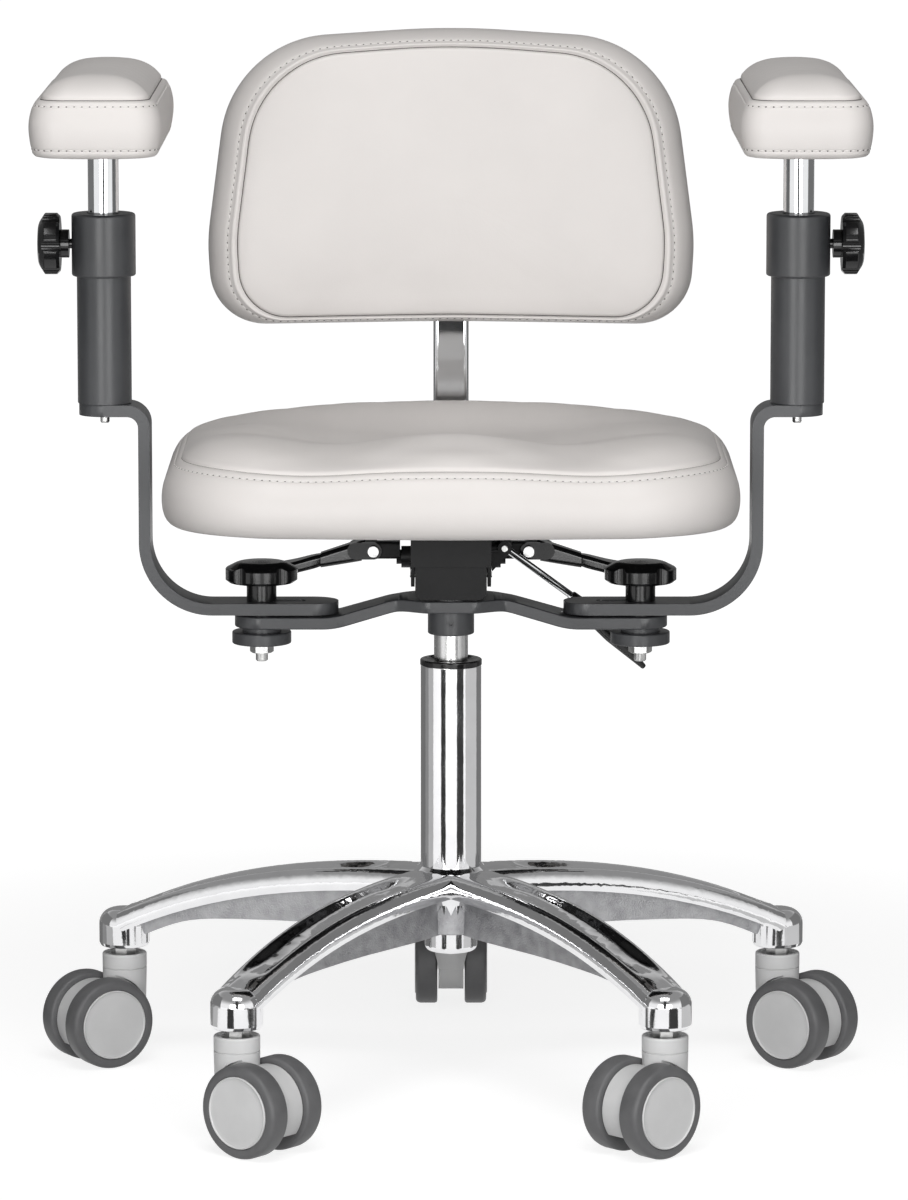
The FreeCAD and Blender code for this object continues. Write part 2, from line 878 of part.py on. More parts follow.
save("clamp_discs", moved(disc, -hinge_x, 0, 0), moved(disc, hinge_x, 0, 0))
knob_bottom = bar_top + piece_gap * 0.5
knob_top = knob_bottom + star_neck_height + star_height
bolt_top = knob_bottom + star_neck_height + star_height * 0.5
bolt = turned(
    [
        (0, nut_bottom - bolt_end),
        (bolt_radius - 1.0, nut_bottom - bolt_end),
        (bolt_radius, nut_bottom - bolt_end + 1.0),
        (bolt_radius, bolt_top),
        (0, bolt_top),
    ]
)
nut = hexagon(nut_across_flats, nut_bottom, disc_bottom)
nut_ends = turned(
    [
        (0, nut_bottom),
        (nut_across_flats / 2 * 0.96, nut_bottom),
        (nut_across_flats / 2 * 1.2, nut_bottom + nut_height * 0.16),
        (nut_across_flats / 2 * 1.2, disc_bottom),
        (0, disc_bottom),
    ]
)
nut = nut.common(nut_ends)
bolt = bolt.fuse(nut).removeSplitter()
save("hinge_bolts", moved(bolt, -hinge_x, 0, 0), moved(bolt, hinge_x, 0, 0))

# Arm bars, pivot washers, star knobs, posts, clamp knobs, pad rods and pads
bar_mid = bar_bottom + bar_thickness / 2
tab_end = post_x + bar_width / 2
bar = strip(
    [
        (hinge_x - bar_inner_end, bar_mid),
        (bar_upright_x, bar_mid),
        (bar_upright_x, tab_z),
        (tab_end, tab_z),
    ],
    [bar_lower_bend, bar_upper_bend],
    bar_thickness,
    front(-bar_width / 2),
    V(0, bar_width, 0),
)
bar_half = bar_width / 2
bar = bar.common(stadium(hinge_x - bar_inner_end + bar_half, post_x, bar_half, bar_bottom - 5.0, tab_top + 5.0))
slot_half = bolt_radius + loose_fit
bar = bar.cut(stadium(hinge_x - width_travel - 1.0, hinge_x + 1.0, slot_half, bar_bottom - 1.0, bar_top + 1.0))
washer = turned(
    [
        (bolt_radius + running_fit, shelf_top + loose_fit),
        (pivot_washer_diameter / 2, shelf_top + loose_fit),
        (pivot_washer_diameter / 2, bar_bottom - loose_fit),
        (bolt_radius + running_fit, bar_bottom - loose_fit),
    ],
    0.0,
    V(hinge_x, 0, 0),
)
star = knob(star_diameter, star_lobes, star_height, star_neck_diameter, star_neck_height)
star = turn_z(star, -90.0)
star.translate(V(hinge_x, 0, knob_bottom))
star = star.cut(rod(bolt_radius + running_fit, (hinge_x, 0, knob_bottom - 1.0), (hinge_x, 0, bolt_top + loose_fit)))
rod_r = pad_rod_diameter / 2
rod_bottom = sleeve_top - pad_rod_in_post
post_bore = rod_bottom - pad_lift_down - 4.0
post = turned(
    [
        (0, tab_top),
        (post_diameter / 2, tab_top),
        (post_diameter / 2, post_top),
        (sleeve_diameter / 2, post_top),
        (sleeve_diameter / 2, sleeve_top),
        (rod_r + 1.6, sleeve_top),
        (rod_r + running_fit, sleeve_top - 1.6),
        (rod_r + running_fit, post_bore),
        (0, post_bore),
    ],
    [0, 0.8, 0.6, 1.8, 2.4, 0, 0, 0, 0],
    V(post_x, 0, 0),
)
knob_z = sleeve_top - clamp_knob_drop
stud_radius = clamp_stud_diameter / 2
stud_hole = rod(stud_radius + running_fit, (post_x, 0, knob_z), (post_x + sleeve_diameter, 0, knob_z))
post = post.cut(stud_hole)
clamp = knob(clamp_knob_diameter, clamp_knob_lobes, clamp_knob_thickness, clamp_knob_neck_diameter, clamp_knob_neck)
stud_length = sleeve_diameter / 2 + 2.0 - rod_r - piece_gap
clamp = clamp.fuse(rod(stud_radius, (0, 0, -stud_length), (0, 0, 1.0))).removeSplitter()
clamp.rotate(V(0, 0, 0), V(0, 1, 0), 90)
clamp.translate(V(post_x + sleeve_diameter / 2 + 2.0, 0, knob_z))
pin_r = pad_pin_diameter / 2
pad_rod = turned(
    [
        (0, rod_bottom),
        (rod_r, rod_bottom),
        (rod_r, pad_plate_bottom - 0.05),
        (pin_r, pad_plate_bottom - 0.05),
        (pin_r, pad_plate_bottom + pad_plate_thickness + 4.0),
        (0, pad_plate_bottom + pad_plate_thickness + 4.0),
    ],
    [0, 1.5, 0.8, 0, 1.0, 0],
    V(post_x, 0, 0),
)
plate_l = pad_plate_length / 2
plate_w = pad_plate_width / 2
pad_plate = prism(
    [(post_x - plate_w, -plate_l), (post_x + plate_w, -plate_l), (post_x + plate_w, plate_l), (post_x - plate_w, plate_l)],
    14.0,
    plan(pad_plate_bottom),
    V(0, 0, pad_plate_thickness),
)
pad_pin_hole = rod(
    pin_r + running_fit,
    (post_x, 0, pad_plate_bottom - 1.0),
    (post_x, 0, pad_plate_bottom + pad_plate_thickness + 1.0),
)
pad_plate = pad_plate.cut(pad_pin_hole)


def pad_outline(inset, z):
    """Plan outline of the arm pad, drawn in by an inset."""
    half_w = pad_width / 2 - inset
    half_l = pad_length / 2 - inset
    points = [(-half_w, -half_l), (half_w, -half_l), (half_w, half_l), (-half_w, half_l)]
    return loop([(post_x + u, v) for u, v in points], pad_corner - inset * 0.5, plan(z))


pad_seam = pad_bottom + pad_side_height
pad = Part.makeLoft(
    [
        pad_outline(pad_bulge * 0.7, pad_bottom),
        pad_outline(pad_bulge * 0.12, pad_bottom + pad_side_height * 0.22),
        pad_outline(0.0, pad_bottom + pad_side_height * 0.5),
        pad_outline(pad_bulge * 0.5, pad_bottom + pad_side_height * 0.85),
        pad_outline(pad_bulge, pad_seam),
        pad_outline(pad_bulge + 6.0, pad_seam + pad_crown * 0.45),
        pad_outline(pad_bulge + 17.0, pad_seam + pad_crown * 0.84),
        pad_outline(pad_bulge + 32.0, pad_seam + pad_crown),
    ],
    True,
    False,
)
pocket = prism(
    [
        (post_x - plate_w - loose_fit, -plate_l - loose_fit),
        (post_x + plate_w + loose_fit, -plate_l - loose_fit),
        (post_x + plate_w + loose_fit, plate_l + loose_fit),
        (post_x - plate_w - loose_fit, plate_l + loose_fit),
    ],
    14.0,
    plan(pad_bottom - 10.0),
    V(0, 0, 10.0 + pad_plate_thickness - 1.0 + loose_fit),
)
pin_pocket = rod(
    pin_r + 1.0,
    (post_x, 0, pad_bottom),
    (post_x, 0, pad_plate_bottom + pad_plate_thickness + 6.0),
)
pad = pad.cut(pocket).cut(pin_pocket)
for name, shape in (
    ("arm_bar", bar),
    ("pivot_washer", washer),
    ("star_knob", star),
    ("post", post),
    ("clamp_knob", clamp),
    ("pad_rod", pad_rod),
    ("pad_plate", pad_plate),
    ("arm_pad", pad),
):
    save(name + "_right", shape)
    save(name + "_left", mirrored(shape))

# Mechanism housing with the cup that grips the pressure tube
half_width = housing_width / 2
inner_half = half_width - housing_wall
trough = prism(
    [
        (-half_width, housing_bottom),
        (half_width, housing_bottom),
        (half_width, housing_top),
        (-half_width, housing_top),
    ],
    [housing_corner, housing_corner, 0, 0],
    front(-housing_front),
    V(0, housing_front + housing_rear, 0),
)
trough_room = prism(
    [
        (-inner_half, housing_bottom + housing_wall),
        (inner_half, housing_bottom + housing_wall),
        (inner_half, housing_top + 1.0),
        (-inner_half, housing_top + 1.0),
    ],
    [housing_corner - housing_wall, housing_corner - housing_wall, 0, 0],
    front(housing_wall - housing_front),
    V(0, housing_front + housing_rear, 0),
)
housing_body = trough.cut(trough_room)
floor_end = back_pivot_y - 6.0
housing_body = housing_body.cut(
    block(-inner_half, inner_half, floor_end, housing_rear + 1.0, housing_bottom - 1.0, housing_bottom + housing_wall + 1.0)
)
cup = rod(tube_radius + cup_wall, (0, 0, housing_bottom + 1.0), (0, 0, tube_top - 4.0))
housing_body = housing_body.fuse(cup)
boss_end = half_width + lever_boss_length
boss_inner = half_width - housing_wall
lever_radius = lever_shaft_diameter / 2
for way in (-1, 1):
    boss = rod(lever_boss_diameter / 2, (way * boss_inner, lever_y, pivot_z), (way * boss_end, lever_y, pivot_z))
    housing_body = housing_body.fuse(boss)
press_z = pin_top + height_rod_diameter / 2 + 0.1
eye_half = height_eye_length / 2
lug_low = height_pivot_y + eye_half + piece_gap
lug = prism(
    [
        (half_width - housing_wall, housing_bottom + housing_corner),
        (half_width + 2.0, housing_bottom + housing_corner),
        (height_pivot_x + 6.0, press_z - 4.0),
        (height_pivot_x + 6.0, press_z + 6.0),
        (half_width - housing_wall, press_z + 6.0),
    ],
    [0, 0, 4.0, 4.0, 2.0],
    front(lug_low),
    V(0, height_lug, 0),
)
height_pin_radius = height_pin_diameter / 2
lug_hole = rod(
    height_pin_radius + press_fit,
    (height_pivot_x, lug_low - 1.0, press_z),
    (height_pivot_x, lug_low + height_lug + 1.0, press_z),
)
housing_body = housing_body.fuse(lug.cut(lug_hole))
housing_body = housing_body.cut(rod(tube_radius + press_fit, (0, 0, housing_bottom - 1.0), (0, 0, housing_top + 5.0)))
housing_body = housing_body.cut(rod(lever_radius + press_fit, (-boss_end - 1, lever_y, pivot_z), (boss_end + 1, lever_y, pivot_z)))
pin_half = pivot_pin_diameter / 2
seat_pin_end = half_width + piece_gap + carrier_wall + pivot_pin_proud
back_pin_end = half_width + 3.0
seat_pin_hole = rod(
    pin_half + press_fit,
    (-seat_pin_end, seat_pivot_y, pivot_z),
    (seat_pin_end, seat_pivot_y, pivot_z),
)
back_pin_hole = rod(
    pin_half + press_fit,
    (-back_pin_end, back_pivot_y, pivot_z),
    (back_pin_end, back_pivot_y, pivot_z),
)
housing_body = housing_body.cut(seat_pin_hole).cut(back_pin_hole)
save("mechanism_housing", housing_body.removeSplitter())
seat_pin = rod(pin_half, (-seat_pin_end, seat_pivot_y, pivot_z), (seat_pin_end, seat_pivot_y, pivot_z))
back_pin = rod(pin_half, (-back_pin_end, back_pivot_y, pivot_z), (back_pin_end, back_pivot_y, pivot_z))
stub_half = lever_stub_size / 2
lever_pin_radius = lever_pin_diameter / 2
pin_reach = stub_half + piece_gap + lever_ear + 2.0
lever_pins = []
for way in (-1, 1):
    pin = rod(
        lever_pin_radius,
        (way * lever_pin_x, lever_y - pin_reach, lever_z),
        (way * lever_pin_x, lever_y + pin_reach, lever_z),
    )
    head = rod(
        lever_pin_radius * 1.5,
        (way * lever_pin_x, lever_y - pin_reach - 2.4, lever_z),
        (way * lever_pin_x, lever_y - pin_reach, lever_z),
    )
    lever_pins.append(pin.fuse(head).removeSplitter())
height_pin = rod(
    height_pin_radius,
    (height_pivot_x, height_pivot_y - eye_half - 1.5, press_z),
    (height_pivot_x, lug_low + height_lug + 1.0, press_z),
)
save("pivot_pins", seat_pin, back_pin, height_pin, *lever_pins)
lever_shaft = rod(lever_radius, (-boss_end - 4.0, lever_y, pivot_z), (boss_end + 4.0, lever_y, pivot_z))
for way in (-1, 1):
    start = boss_end + 1.0
    stub = block(0, lever_stub_end - start, -stub_half, stub_half, -stub_half, stub_half)
    stub = stub.makeFillet(2.0, [e for e in stub.Edges if abs(e.tangentAt(e.FirstParameter).x) > 0.9])
    stub.translate(V(start, lever_y, lever_z))
    lever_shaft = lever_shaft.fuse(stub if way > 0 else mirrored(stub))
for way in (-1, 1):
    lever_shaft = lever_shaft.cut(
        rod(
            lever_pin_radius + press_fit,
            (way * lever_pin_x, lever_y - stub_half - 1, lever_z),
            (way * lever_pin_x, lever_y + stub_half + 1, lever_z),
        )
    )
save("lever_shaft", lever_shaft.removeSplitter())


def hand_lever():
    """Drooping hand lever: two ears on the pin, a tapered sleeve and a flattened grip; pin at the origin."""
    ear_in = stub_half + piece_gap * 0.5
    ear_out = ear_in + lever_ear
    start = lever_stub_end - lever_pin_x + 2.5
    ears = []
    for low, high in ((ear_in, ear_out), (-ear_out, -ear_in)):
        ear = stadium(0, start + 5.0, lever_stub_size * 0.5, 0, high - low)
        ear.rotate(V(0, 0, 0), V(1, 0, 0), 90)
        ear.translate(V(0, high, 0))
        ears.append(ear)
    tall = lever_stub_size / 2 + 1.5
    sleeve_end = start + lever_sleeve_length
    grip_end = sleeve_end + lever_grip_length
    drop = math.tan(math.radians(lever_droop))

    def section(x, half_y, half_z, corner):
        centre = -drop * max(0.0, x - start)
        points = [
            (-half_y, centre - half_z),
            (half_y, centre - half_z),
            (half_y, centre + half_z),
            (-half_y, centre + half_z),
        ]
        return loop(points, corner, side(x))

    sleeve = Part.makeLoft(
        [
            section(start, ear_out, tall, 4.0),
            section(start + lever_sleeve_length * 0.5, ear_out * 0.9, tall * 0.86, 4.0),
            section(sleeve_end, ear_out * 0.8, tall * 0.7, 4.0),
        ],
        True,
        False,
    )
    grip = Part.makeLoft(
        [
            section(sleeve_end - 3.0, ear_out * 0.6, tall * 0.52, 3.0),
            section(sleeve_end + lever_grip_length * 0.2, ear_out * 0.95, tall * 0.62, 3.4),
            section(sleeve_end + lever_grip_length * 0.6, ear_out * 1.35, tall * 0.64, 3.6),
            section(grip_end - 4.0, ear_out * 1.3, tall * 0.56, 3.4),
            section(grip_end, ear_out * 1.05, tall * 0.34, 2.0),
        ],
        True,
        False,
    )
    lever = sleeve.fuse(grip)
    for ear in ears:
        lever = lever.fuse(ear)
    lever = lever.cut(rod(lever_pin_radius + running_fit, (0, -ear_out - 1, 0), (0, ear_out + 1, 0)))
    return lever.removeSplitter()


lever = hand_lever()
lever.translate(V(lever_pin_x, lever_y, lever_z))
save("right_lever", lever)
save("left_lever", mirrored(lever))

# Height lever: its hub presses the release pin, its rod runs down behind the bracket
pivot_at = V(height_pivot_x, height_pivot_y, press_z)
sweep = math.radians(height_rod_sweep)


def slanted(droop):
    """Direction outwards and rearwards that droops below level."""
    down = math.radians(droop)
    return V(math.cos(down) * math.cos(sweep), math.cos(down) * math.sin(sweep), -math.sin(down))


along = slanted(height_rod_droop)
grip_along = slanted(height_grip_droop)
rod_half = height_rod_diameter / 2
finger = rod(rod_half, (-pin_radius, 0, press_z), (height_pivot_x, height_pivot_y, press_z))
eye = rod(
    height_pin_radius + height_eye_wall,
    (height_pivot_x, height_pivot_y - eye_half, press_z),
    (height_pivot_x, height_pivot_y + eye_half, press_z),
)
eye_hole = rod(
    height_pin_radius + running_fit,
    (height_pivot_x, height_pivot_y - eye_half - 10.0, press_z),
    (height_pivot_x, height_pivot_y + eye_half + 10.0, press_z),
)
elbow = pivot_at + along * height_rod_length
grip_start = rod_half * 0.5
rod_in_grip = height_grip_length * 0.45
socket_at = height_pin_radius + height_socket
height_hub = finger.fuse(Part.makeSphere(rod_half, V(-pin_radius, 0, press_z))).fuse(eye).cut(eye_hole)
height_hub = height_hub.cut(Part.makeCylinder(rod_half + press_fit, height_rod_length, pivot_at + along * socket_at, along))
save("height_hub", height_hub.removeSplitter())
rod_start = socket_at + press_fit
shaft = Part.makeCylinder(rod_half, height_rod_length - rod_start, pivot_at + along * rod_start, along)
tail = Part.makeCylinder(rod_half, grip_start + rod_in_grip, elbow, grip_along)
height_rod = shaft.fuse(Part.makeSphere(rod_half, elbow)).fuse(tail)
grip_r = height_grip_diameter / 2
grip = turned(
    [
        (0, 0),
        (grip_r * 0.7, 0),
        (grip_r, height_grip_length * 0.14),
        (grip_r, height_grip_length * 0.55),
        (grip_r * 0.34, height_grip_length),
        (0, height_grip_length),
    ],
    [0, 1.0, 8.0, 60.0, 1.2, 0],
)
grip = grip.cut(rod(rod_half + press_fit, (0, 0, -1.0), (0, 0, rod_in_grip + 2.0)))
turn = FreeCAD.Rotation(V(0, 0, 1), grip_along)
grip.Placement = FreeCAD.Placement(elbow + grip_along * grip_start, turn)
save("height_rod", height_rod.removeSplitter())
save("height_grip", grip)

# Seat carrier, board and cushion
carrier_in = half_width + piece_gap
carrier_out = carrier_in + carrier_wall
carrier_front = housing_front + 5.0
carrier_low = pivot_z - pin_half - 6.0
plate_low = carrier_top - carrier_plate_thickness
cheeks = []
for way in (-1, 1):
    cheek = prism(
        [
            (-carrier_front, housing_top + 1.0),
            (seat_pivot_y - pin_half - 8.0, carrier_low),
            (seat_pivot_y + pin_half + 8.0, carrier_low),
            (carrier_side_rear, housing_top + 1.0),
            (carrier_side_rear, plate_low + 1.0),
            (-carrier_front, plate_low + 1.0),
        ],
        [0, 8.0, 8.0, 0, 0, 0],
        side(carrier_in if way > 0 else -carrier_out),
        V(carrier_wall, 0, 0),
    )
    cheeks.append(cheek)
carrier = block(
    -carrier_out,
    carrier_out,
    -carrier_front - carrier_wall,
    -carrier_front,
    housing_top + 1.0,
    plate_low + 1.0,
)
for cheek in cheeks:
    carrier = carrier.fuse(cheek)
cp_w = carrier_plate_width / 2
cp_l = carrier_plate_length / 2
top_plate = prism(
    [(-cp_w, -cp_l), (cp_w, -cp_l), (cp_w, cp_l), (-cp_w, cp_l)],
    16.0,
    plan(plate_low),
    V(0, 0, carrier_plate_thickness),
)
carrier = carrier.fuse(top_plate)
seat_run_hole = rod(
    pin_half + running_fit,
    (-seat_pin_end - 1, seat_pivot_y, pivot_z),
    (seat_pin_end + 1, seat_pivot_y, pivot_z),
)
carrier = carrier.cut(seat_run_hole)
save("seat_carrier", carrier.removeSplitter())


def seat_outline(inset, z):
    """Plan outline of the seat, drawn in by an inset: squarish front corners, rounder rear."""
    half_w = seat_width / 2 - inset
    half_d = seat_depth / 2 - inset
    front_corner = seat_corner_front - inset * 0.6
    rear_corner = seat_corner_rear - inset * 0.6
    points = [
        (-half_w, -half_d + seat_front_bow),
        (0, -half_d),
        (half_w, -half_d + seat_front_bow),
        (half_w, half_d),
        (-half_w, half_d),
    ]
    return loop(points, [front_corner, seat_front_arc, front_corner, rear_corner, rear_corner], plan(z))


cushion = Part.makeLoft(
    [
        seat_outline(seat_bulge + 4.0, seat_bottom),
        seat_outline(seat_bulge * 0.3, seat_bottom + seat_side_height * 0.16),
        seat_outline(0.0, seat_bottom + seat_side_height * 0.45),
        seat_outline(seat_bulge * 0.5, seat_bottom + seat_side_height * 0.82),
        seat_outline(seat_bulge + 1.0, seam_z),
        seat_outline(seat_bulge + 14.0, seam_z + seat_crown * 0.56),
        seat_outline(seat_bulge + 36.0, seam_z + seat_crown * 0.9),
        seat_outline(seat_bulge + 62.0, seam_z + seat_crown),
    ],
    True,
    False,
)
crest = seam_z + seat_crown
dish = Part.makeSphere(seat_dish_radius, V(0, seat_dish_y, crest + seat_dish_radius - seat_dish_depth))
cushion = cushion.cut(dish)
for way in (-1, 1):
    groove = rod(
        seat_groove_radius,
        (way * seat_groove_x * 1.25, -seat_depth, crest + seat_groove_radius - seat_groove_depth - 7.0),
        (way * seat_groove_x * 0.55, seat_depth * 0.5, crest + seat_groove_radius - seat_groove_depth + 10.0),
    )
    cushion = cushion.cut(groove)
board_pocket = Part.Face(seat_outline(seat_board_inset - loose_fit, board_bottom - 5.0))
board_pocket = board_pocket.extrude(V(0, 0, 5.0 + seat_board_thickness + loose_fit))
cushion = cushion.cut(board_pocket)
save("seat_cushion", cushion)
board = Part.Face(seat_outline(seat_board_inset, board_bottom)).extrude(V(0, 0, seat_board_thickness))
save("seat_board", board)

# Back knuckle, bar, slider, board and cushion
knuckle_half = knuckle_width / 2
knuckle_low = pivot_z - knuckle_height / 2
knuckle_high = pivot_z + knuckle_height / 2
knuckle_start = back_pivot_y - knuckle_height / 2
knuckle = prism(
    [
        (knuckle_start, knuckle_low),
        (knuckle_start + knuckle_length, knuckle_low),
        (knuckle_start + knuckle_length, knuckle_high),
        (knuckle_start, knuckle_high),
    ],
    [knuckle_height * 0.45, 2.0, 2.0, knuckle_height * 0.45],
    side(-knuckle_half),
    V(knuckle_width, 0, 0),
)
back_run_hole = rod(
    pin_half + running_fit,
    (-back_pin_end - 1, back_pivot_y, pivot_z),
    (back_pin_end + 1, back_pivot_y, pivot_z),
)
knuckle = knuckle.cut(back_run_hole)
bar_y = seat_depth / 2 + back_bar_clearance
bar_w = back_bar_width / 2
bar_t = back_bar_thickness / 2
bar_start = back_pivot_y + pin_half + 6.0


def bent_bar(half_w, half_t):
    """Flat-oval bar bent upright behind the seat."""
    shape = strip(
        [(bar_start, pivot_z), (bar_y, pivot_z), (bar_y, back_bar_top)],
        [back_bar_bend - half_t],
        half_t * 2,
        side(-half_w),
        V(half_w * 2, 0, 0),
    )
    return shape


back_bar = bent_bar(bar_w, bar_t)
long_edges = [
    e
    for e in back_bar.Edges
    if abs(abs(e.CenterOfMass.x) - bar_w) < 0.01 and e.Length > back_bar_thickness + 1.0
]
back_bar = back_bar.makeFillet(back_bar_thickness * 0.34, long_edges)
socket_room = block(
    -bar_w - press_fit,
    bar_w + press_fit,
    bar_start - press_fit,
    knuckle_start + knuckle_length + 1.0,
    pivot_z - bar_t - press_fit,
    pivot_z + bar_t + press_fit,
)
save("back_knuckle", knuckle.cut(socket_room))
save("back_bar", back_bar)
slide_w = bar_w + loose_fit
slide_t = bar_t + loose_fit
slider_mid = back_centre_z - 24.0
slider_low = slider_mid - slider_length / 2
slider_high = slider_mid + slider_length / 2
slider_front = bar_y - slide_t - slider_wall
slider_rear = bar_y + slide_t + slider_wall
slider = prism(
    [
        (-slider_width / 2, slider_front),
        (slider_width / 2, slider_front),
        (slider_width / 2, slider_rear),
        (-slider_width / 2, slider_rear),
    ],
    [0, 0, 5.0, 5.0],
    plan(slider_low),
    V(0, 0, slider_length),
)
foot = block(
    -slider_width,
    slider_width,
    slider_front - slider_foot_thickness,
    slider_front,
    slider_low - 8.0,
    slider_high + 8.0,
)
slider = slider.fuse(foot)
slider = slider.cut(block(-slide_w, slide_w, bar_y - slide_t, bar_y + slide_t, slider_low - 1.0, slider_high + 1.0))
back_stud = rod(stud_radius + running_fit, (0, bar_y, slider_mid), (0, slider_rear + 5.0, slider_mid))
slider = slider.cut(back_stud).removeSplitter()
save("back_slider", slider)
back_clamp = knob(back_knob_diameter, back_knob_lobes, back_knob_thickness, clamp_knob_neck_diameter, back_knob_neck)
back_clamp = back_clamp.fuse(rod(stud_radius, (0, 0, 1.0), (0, 0, -slider_wall - 1.0))).removeSplitter()
back_clamp.rotate(V(0, 0, 0), V(1, 0, 0), -90)
back_clamp.translate(V(0, slider_rear + 1.0, slider_mid))
save("back_knob", back_clamp)
board_rear = slider_front - slider_foot_thickness
board_front = board_rear - back_board_thickness


def back_outline(inset_side, inset_top, inset_low, y):
    """Upright outline of the backrest: broad arched top, widest below the middle, nearly flat bottom."""
    half_w = back_width / 2 - inset_side
    top = back_centre_z + back_height / 2 - inset_top
    low = back_centre_z - back_height / 2 + inset_low
    waist = low + (top - low) * 0.29
    points = [
        (-half_w * 0.985, low),
        (0, low + 2.5),
        (half_w * 0.985, low),
        (half_w + 1.5, waist),
        (half_w * 0.9, top - 10.0),
        (0, top + 2.0),
        (-half_w * 0.9, top - 10.0),
        (-half_w - 1.5, waist),
    ]
    corner = back_corner - inset_side * 0.2
    shoulder = back_shoulder - inset_side * 0.4
    low_radii = [corner, back_low_arc, corner]
    high_radii = [back_side_arc, shoulder, back_top_arc, shoulder, back_side_arc]
    return loop(points, low_radii + high_radii, front(y))


back_front = board_rear - back_thickness
padding = Part.makeLoft(
    [
        back_outline(7.0, 6.0, 7.0, board_rear - 0.5),
        back_outline(1.0, 1.0, 1.0, board_rear - back_thickness * 0.14),
        back_outline(0.0, 0.0, 0.0, board_rear - back_thickness * 0.3),
        back_outline(back_side_inset * 0.42, back_top_inset * 0.42, 2.0, board_rear - back_thickness * 0.66),
        back_outline(back_side_inset, back_top_inset, 6.0, back_front + back_front_crown),
        back_outline(back_side_inset + 14.0, back_top_inset + 12.0, 18.0, back_front + back_front_crown * 0.35),
        back_outline(back_side_inset + 44.0, back_top_inset + 36.0, 44.0, back_front),
    ],
    True,
    False,
)
shell = Part.Face(back_outline(back_board_inset, back_board_inset, back_board_inset, board_front))
shell = shell.extrude(V(0, back_board_thickness, 0))
shell_room = Part.Face(
    back_outline(back_board_inset - loose_fit, back_board_inset - loose_fit, back_board_inset - loose_fit, board_front - loose_fit)
)
shell_room = shell_room.extrude(V(0, back_board_thickness + 2.0, 0))
save("back_cushion", padding.cut(shell_room))
save("back_board", shell)
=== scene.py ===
"""Looks of the microscope chair: finishes of the rigid pieces, upholstery with its seams and stitches,
polished base, caster wheels, small fasteners, light and camera. Metres, +Z up, the sitter faces -Y.
"""
import json
import math

import bmesh
import bpy
from mathutils import Matrix, Vector
from mathutils.kdtree import KDTree


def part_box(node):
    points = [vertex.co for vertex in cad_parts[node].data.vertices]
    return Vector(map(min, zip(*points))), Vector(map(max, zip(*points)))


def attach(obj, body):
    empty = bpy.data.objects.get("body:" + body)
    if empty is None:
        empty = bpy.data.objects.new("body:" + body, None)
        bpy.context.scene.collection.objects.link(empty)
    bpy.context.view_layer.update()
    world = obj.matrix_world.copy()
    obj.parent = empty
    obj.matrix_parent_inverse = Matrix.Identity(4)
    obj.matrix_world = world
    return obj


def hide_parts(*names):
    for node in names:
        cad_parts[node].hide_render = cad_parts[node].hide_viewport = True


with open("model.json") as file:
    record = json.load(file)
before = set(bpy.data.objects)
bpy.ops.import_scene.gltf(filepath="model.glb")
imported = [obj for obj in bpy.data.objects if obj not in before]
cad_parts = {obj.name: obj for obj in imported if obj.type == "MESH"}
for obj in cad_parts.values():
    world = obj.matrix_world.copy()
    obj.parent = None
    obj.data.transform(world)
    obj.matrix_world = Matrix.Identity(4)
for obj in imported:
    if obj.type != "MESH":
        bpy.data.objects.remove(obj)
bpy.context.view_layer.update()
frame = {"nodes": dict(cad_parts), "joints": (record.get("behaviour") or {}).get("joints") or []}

mm = 0.001
scene = bpy.context.scene
nodes = frame["nodes"]
joints = {joint["name"]: joint for joint in frame["joints"]}
side_signs = {"left": -1.0, "right": 1.0}
sides = tuple(side_signs)
caster_count = 5
weld_reach = 0.01 * mm

# Materials: where on the noise colour and gloss begin and end to drift
noise_low = 0.3
noise_high = 0.7
relief_detail = 4.0

# Upholstery
cloth_frames = 20
cloth_pressure = 4.0
voxel = 5.0 * mm
pin_reach = 3.5 * mm
spread_count = 14
spread_softness = 2.0 * mm
ring_points = 240
inner_rings = 16
stitch_pitch = 6.1 * mm
stitch_length = 4.6 * mm
stitch_width = 1.3 * mm
hole_radius = 0.85 * mm
hole_narrowing = 0.85
crease_radius = 0.5 * mm
soft_crease_radius = 0.25 * mm
crease_step = 3.0 * mm
crease_lift = 0.4
line_sides = 6

# Seat: the shrink is a share of the inset, the rims are shares of the half sizes
seat_front_corner = 92.0 * mm
seat_rear_corner = 150.0 * mm
seat_corner_shrink = 0.6
seat_bow = 12.0 * mm
seat_front_arc = 900.0 * mm
seat_slack = 1.5 * mm
seat_puff = 6.0 * mm
seat_staple_rise = 4.0 * mm
seat_rim_across = 0.6
seat_rim_along = 0.75
seat_seam_point = 8
seam_dip = 4.0 * mm
seam_dip_aside = 115.0 * mm
seam_dip_width = 55.0 * mm
seam_dip_ramp = (-170.0 * mm, -80.0 * mm)

# Bumps on the seat: rise, distance from the middle, width, place from front to rear, length
pommel = (6.0 * mm, 0.0, 52.0 * mm, -132.0 * mm, 50.0 * mm)
raised_sides = (7.5 * mm, 172.0 * mm, 48.0 * mm, -75.0 * mm, 110.0 * mm)
thigh_hollows = (-5.0 * mm, 98.0 * mm, 42.0 * mm, -130.0 * mm, 80.0 * mm)

# Dish and raised rear of the seat, with the stretches over which they set in or end
dish_depth = 16.0 * mm
dish_width = 150.0 * mm
dish_front = (-125.0 * mm, -62.0 * mm)
dish_rear = (10.0 * mm, 125.0 * mm)
rear_rise = 2.0 * mm
rear_width = 110.0 * mm
rear_ramp = (95.0 * mm, 150.0 * mm)

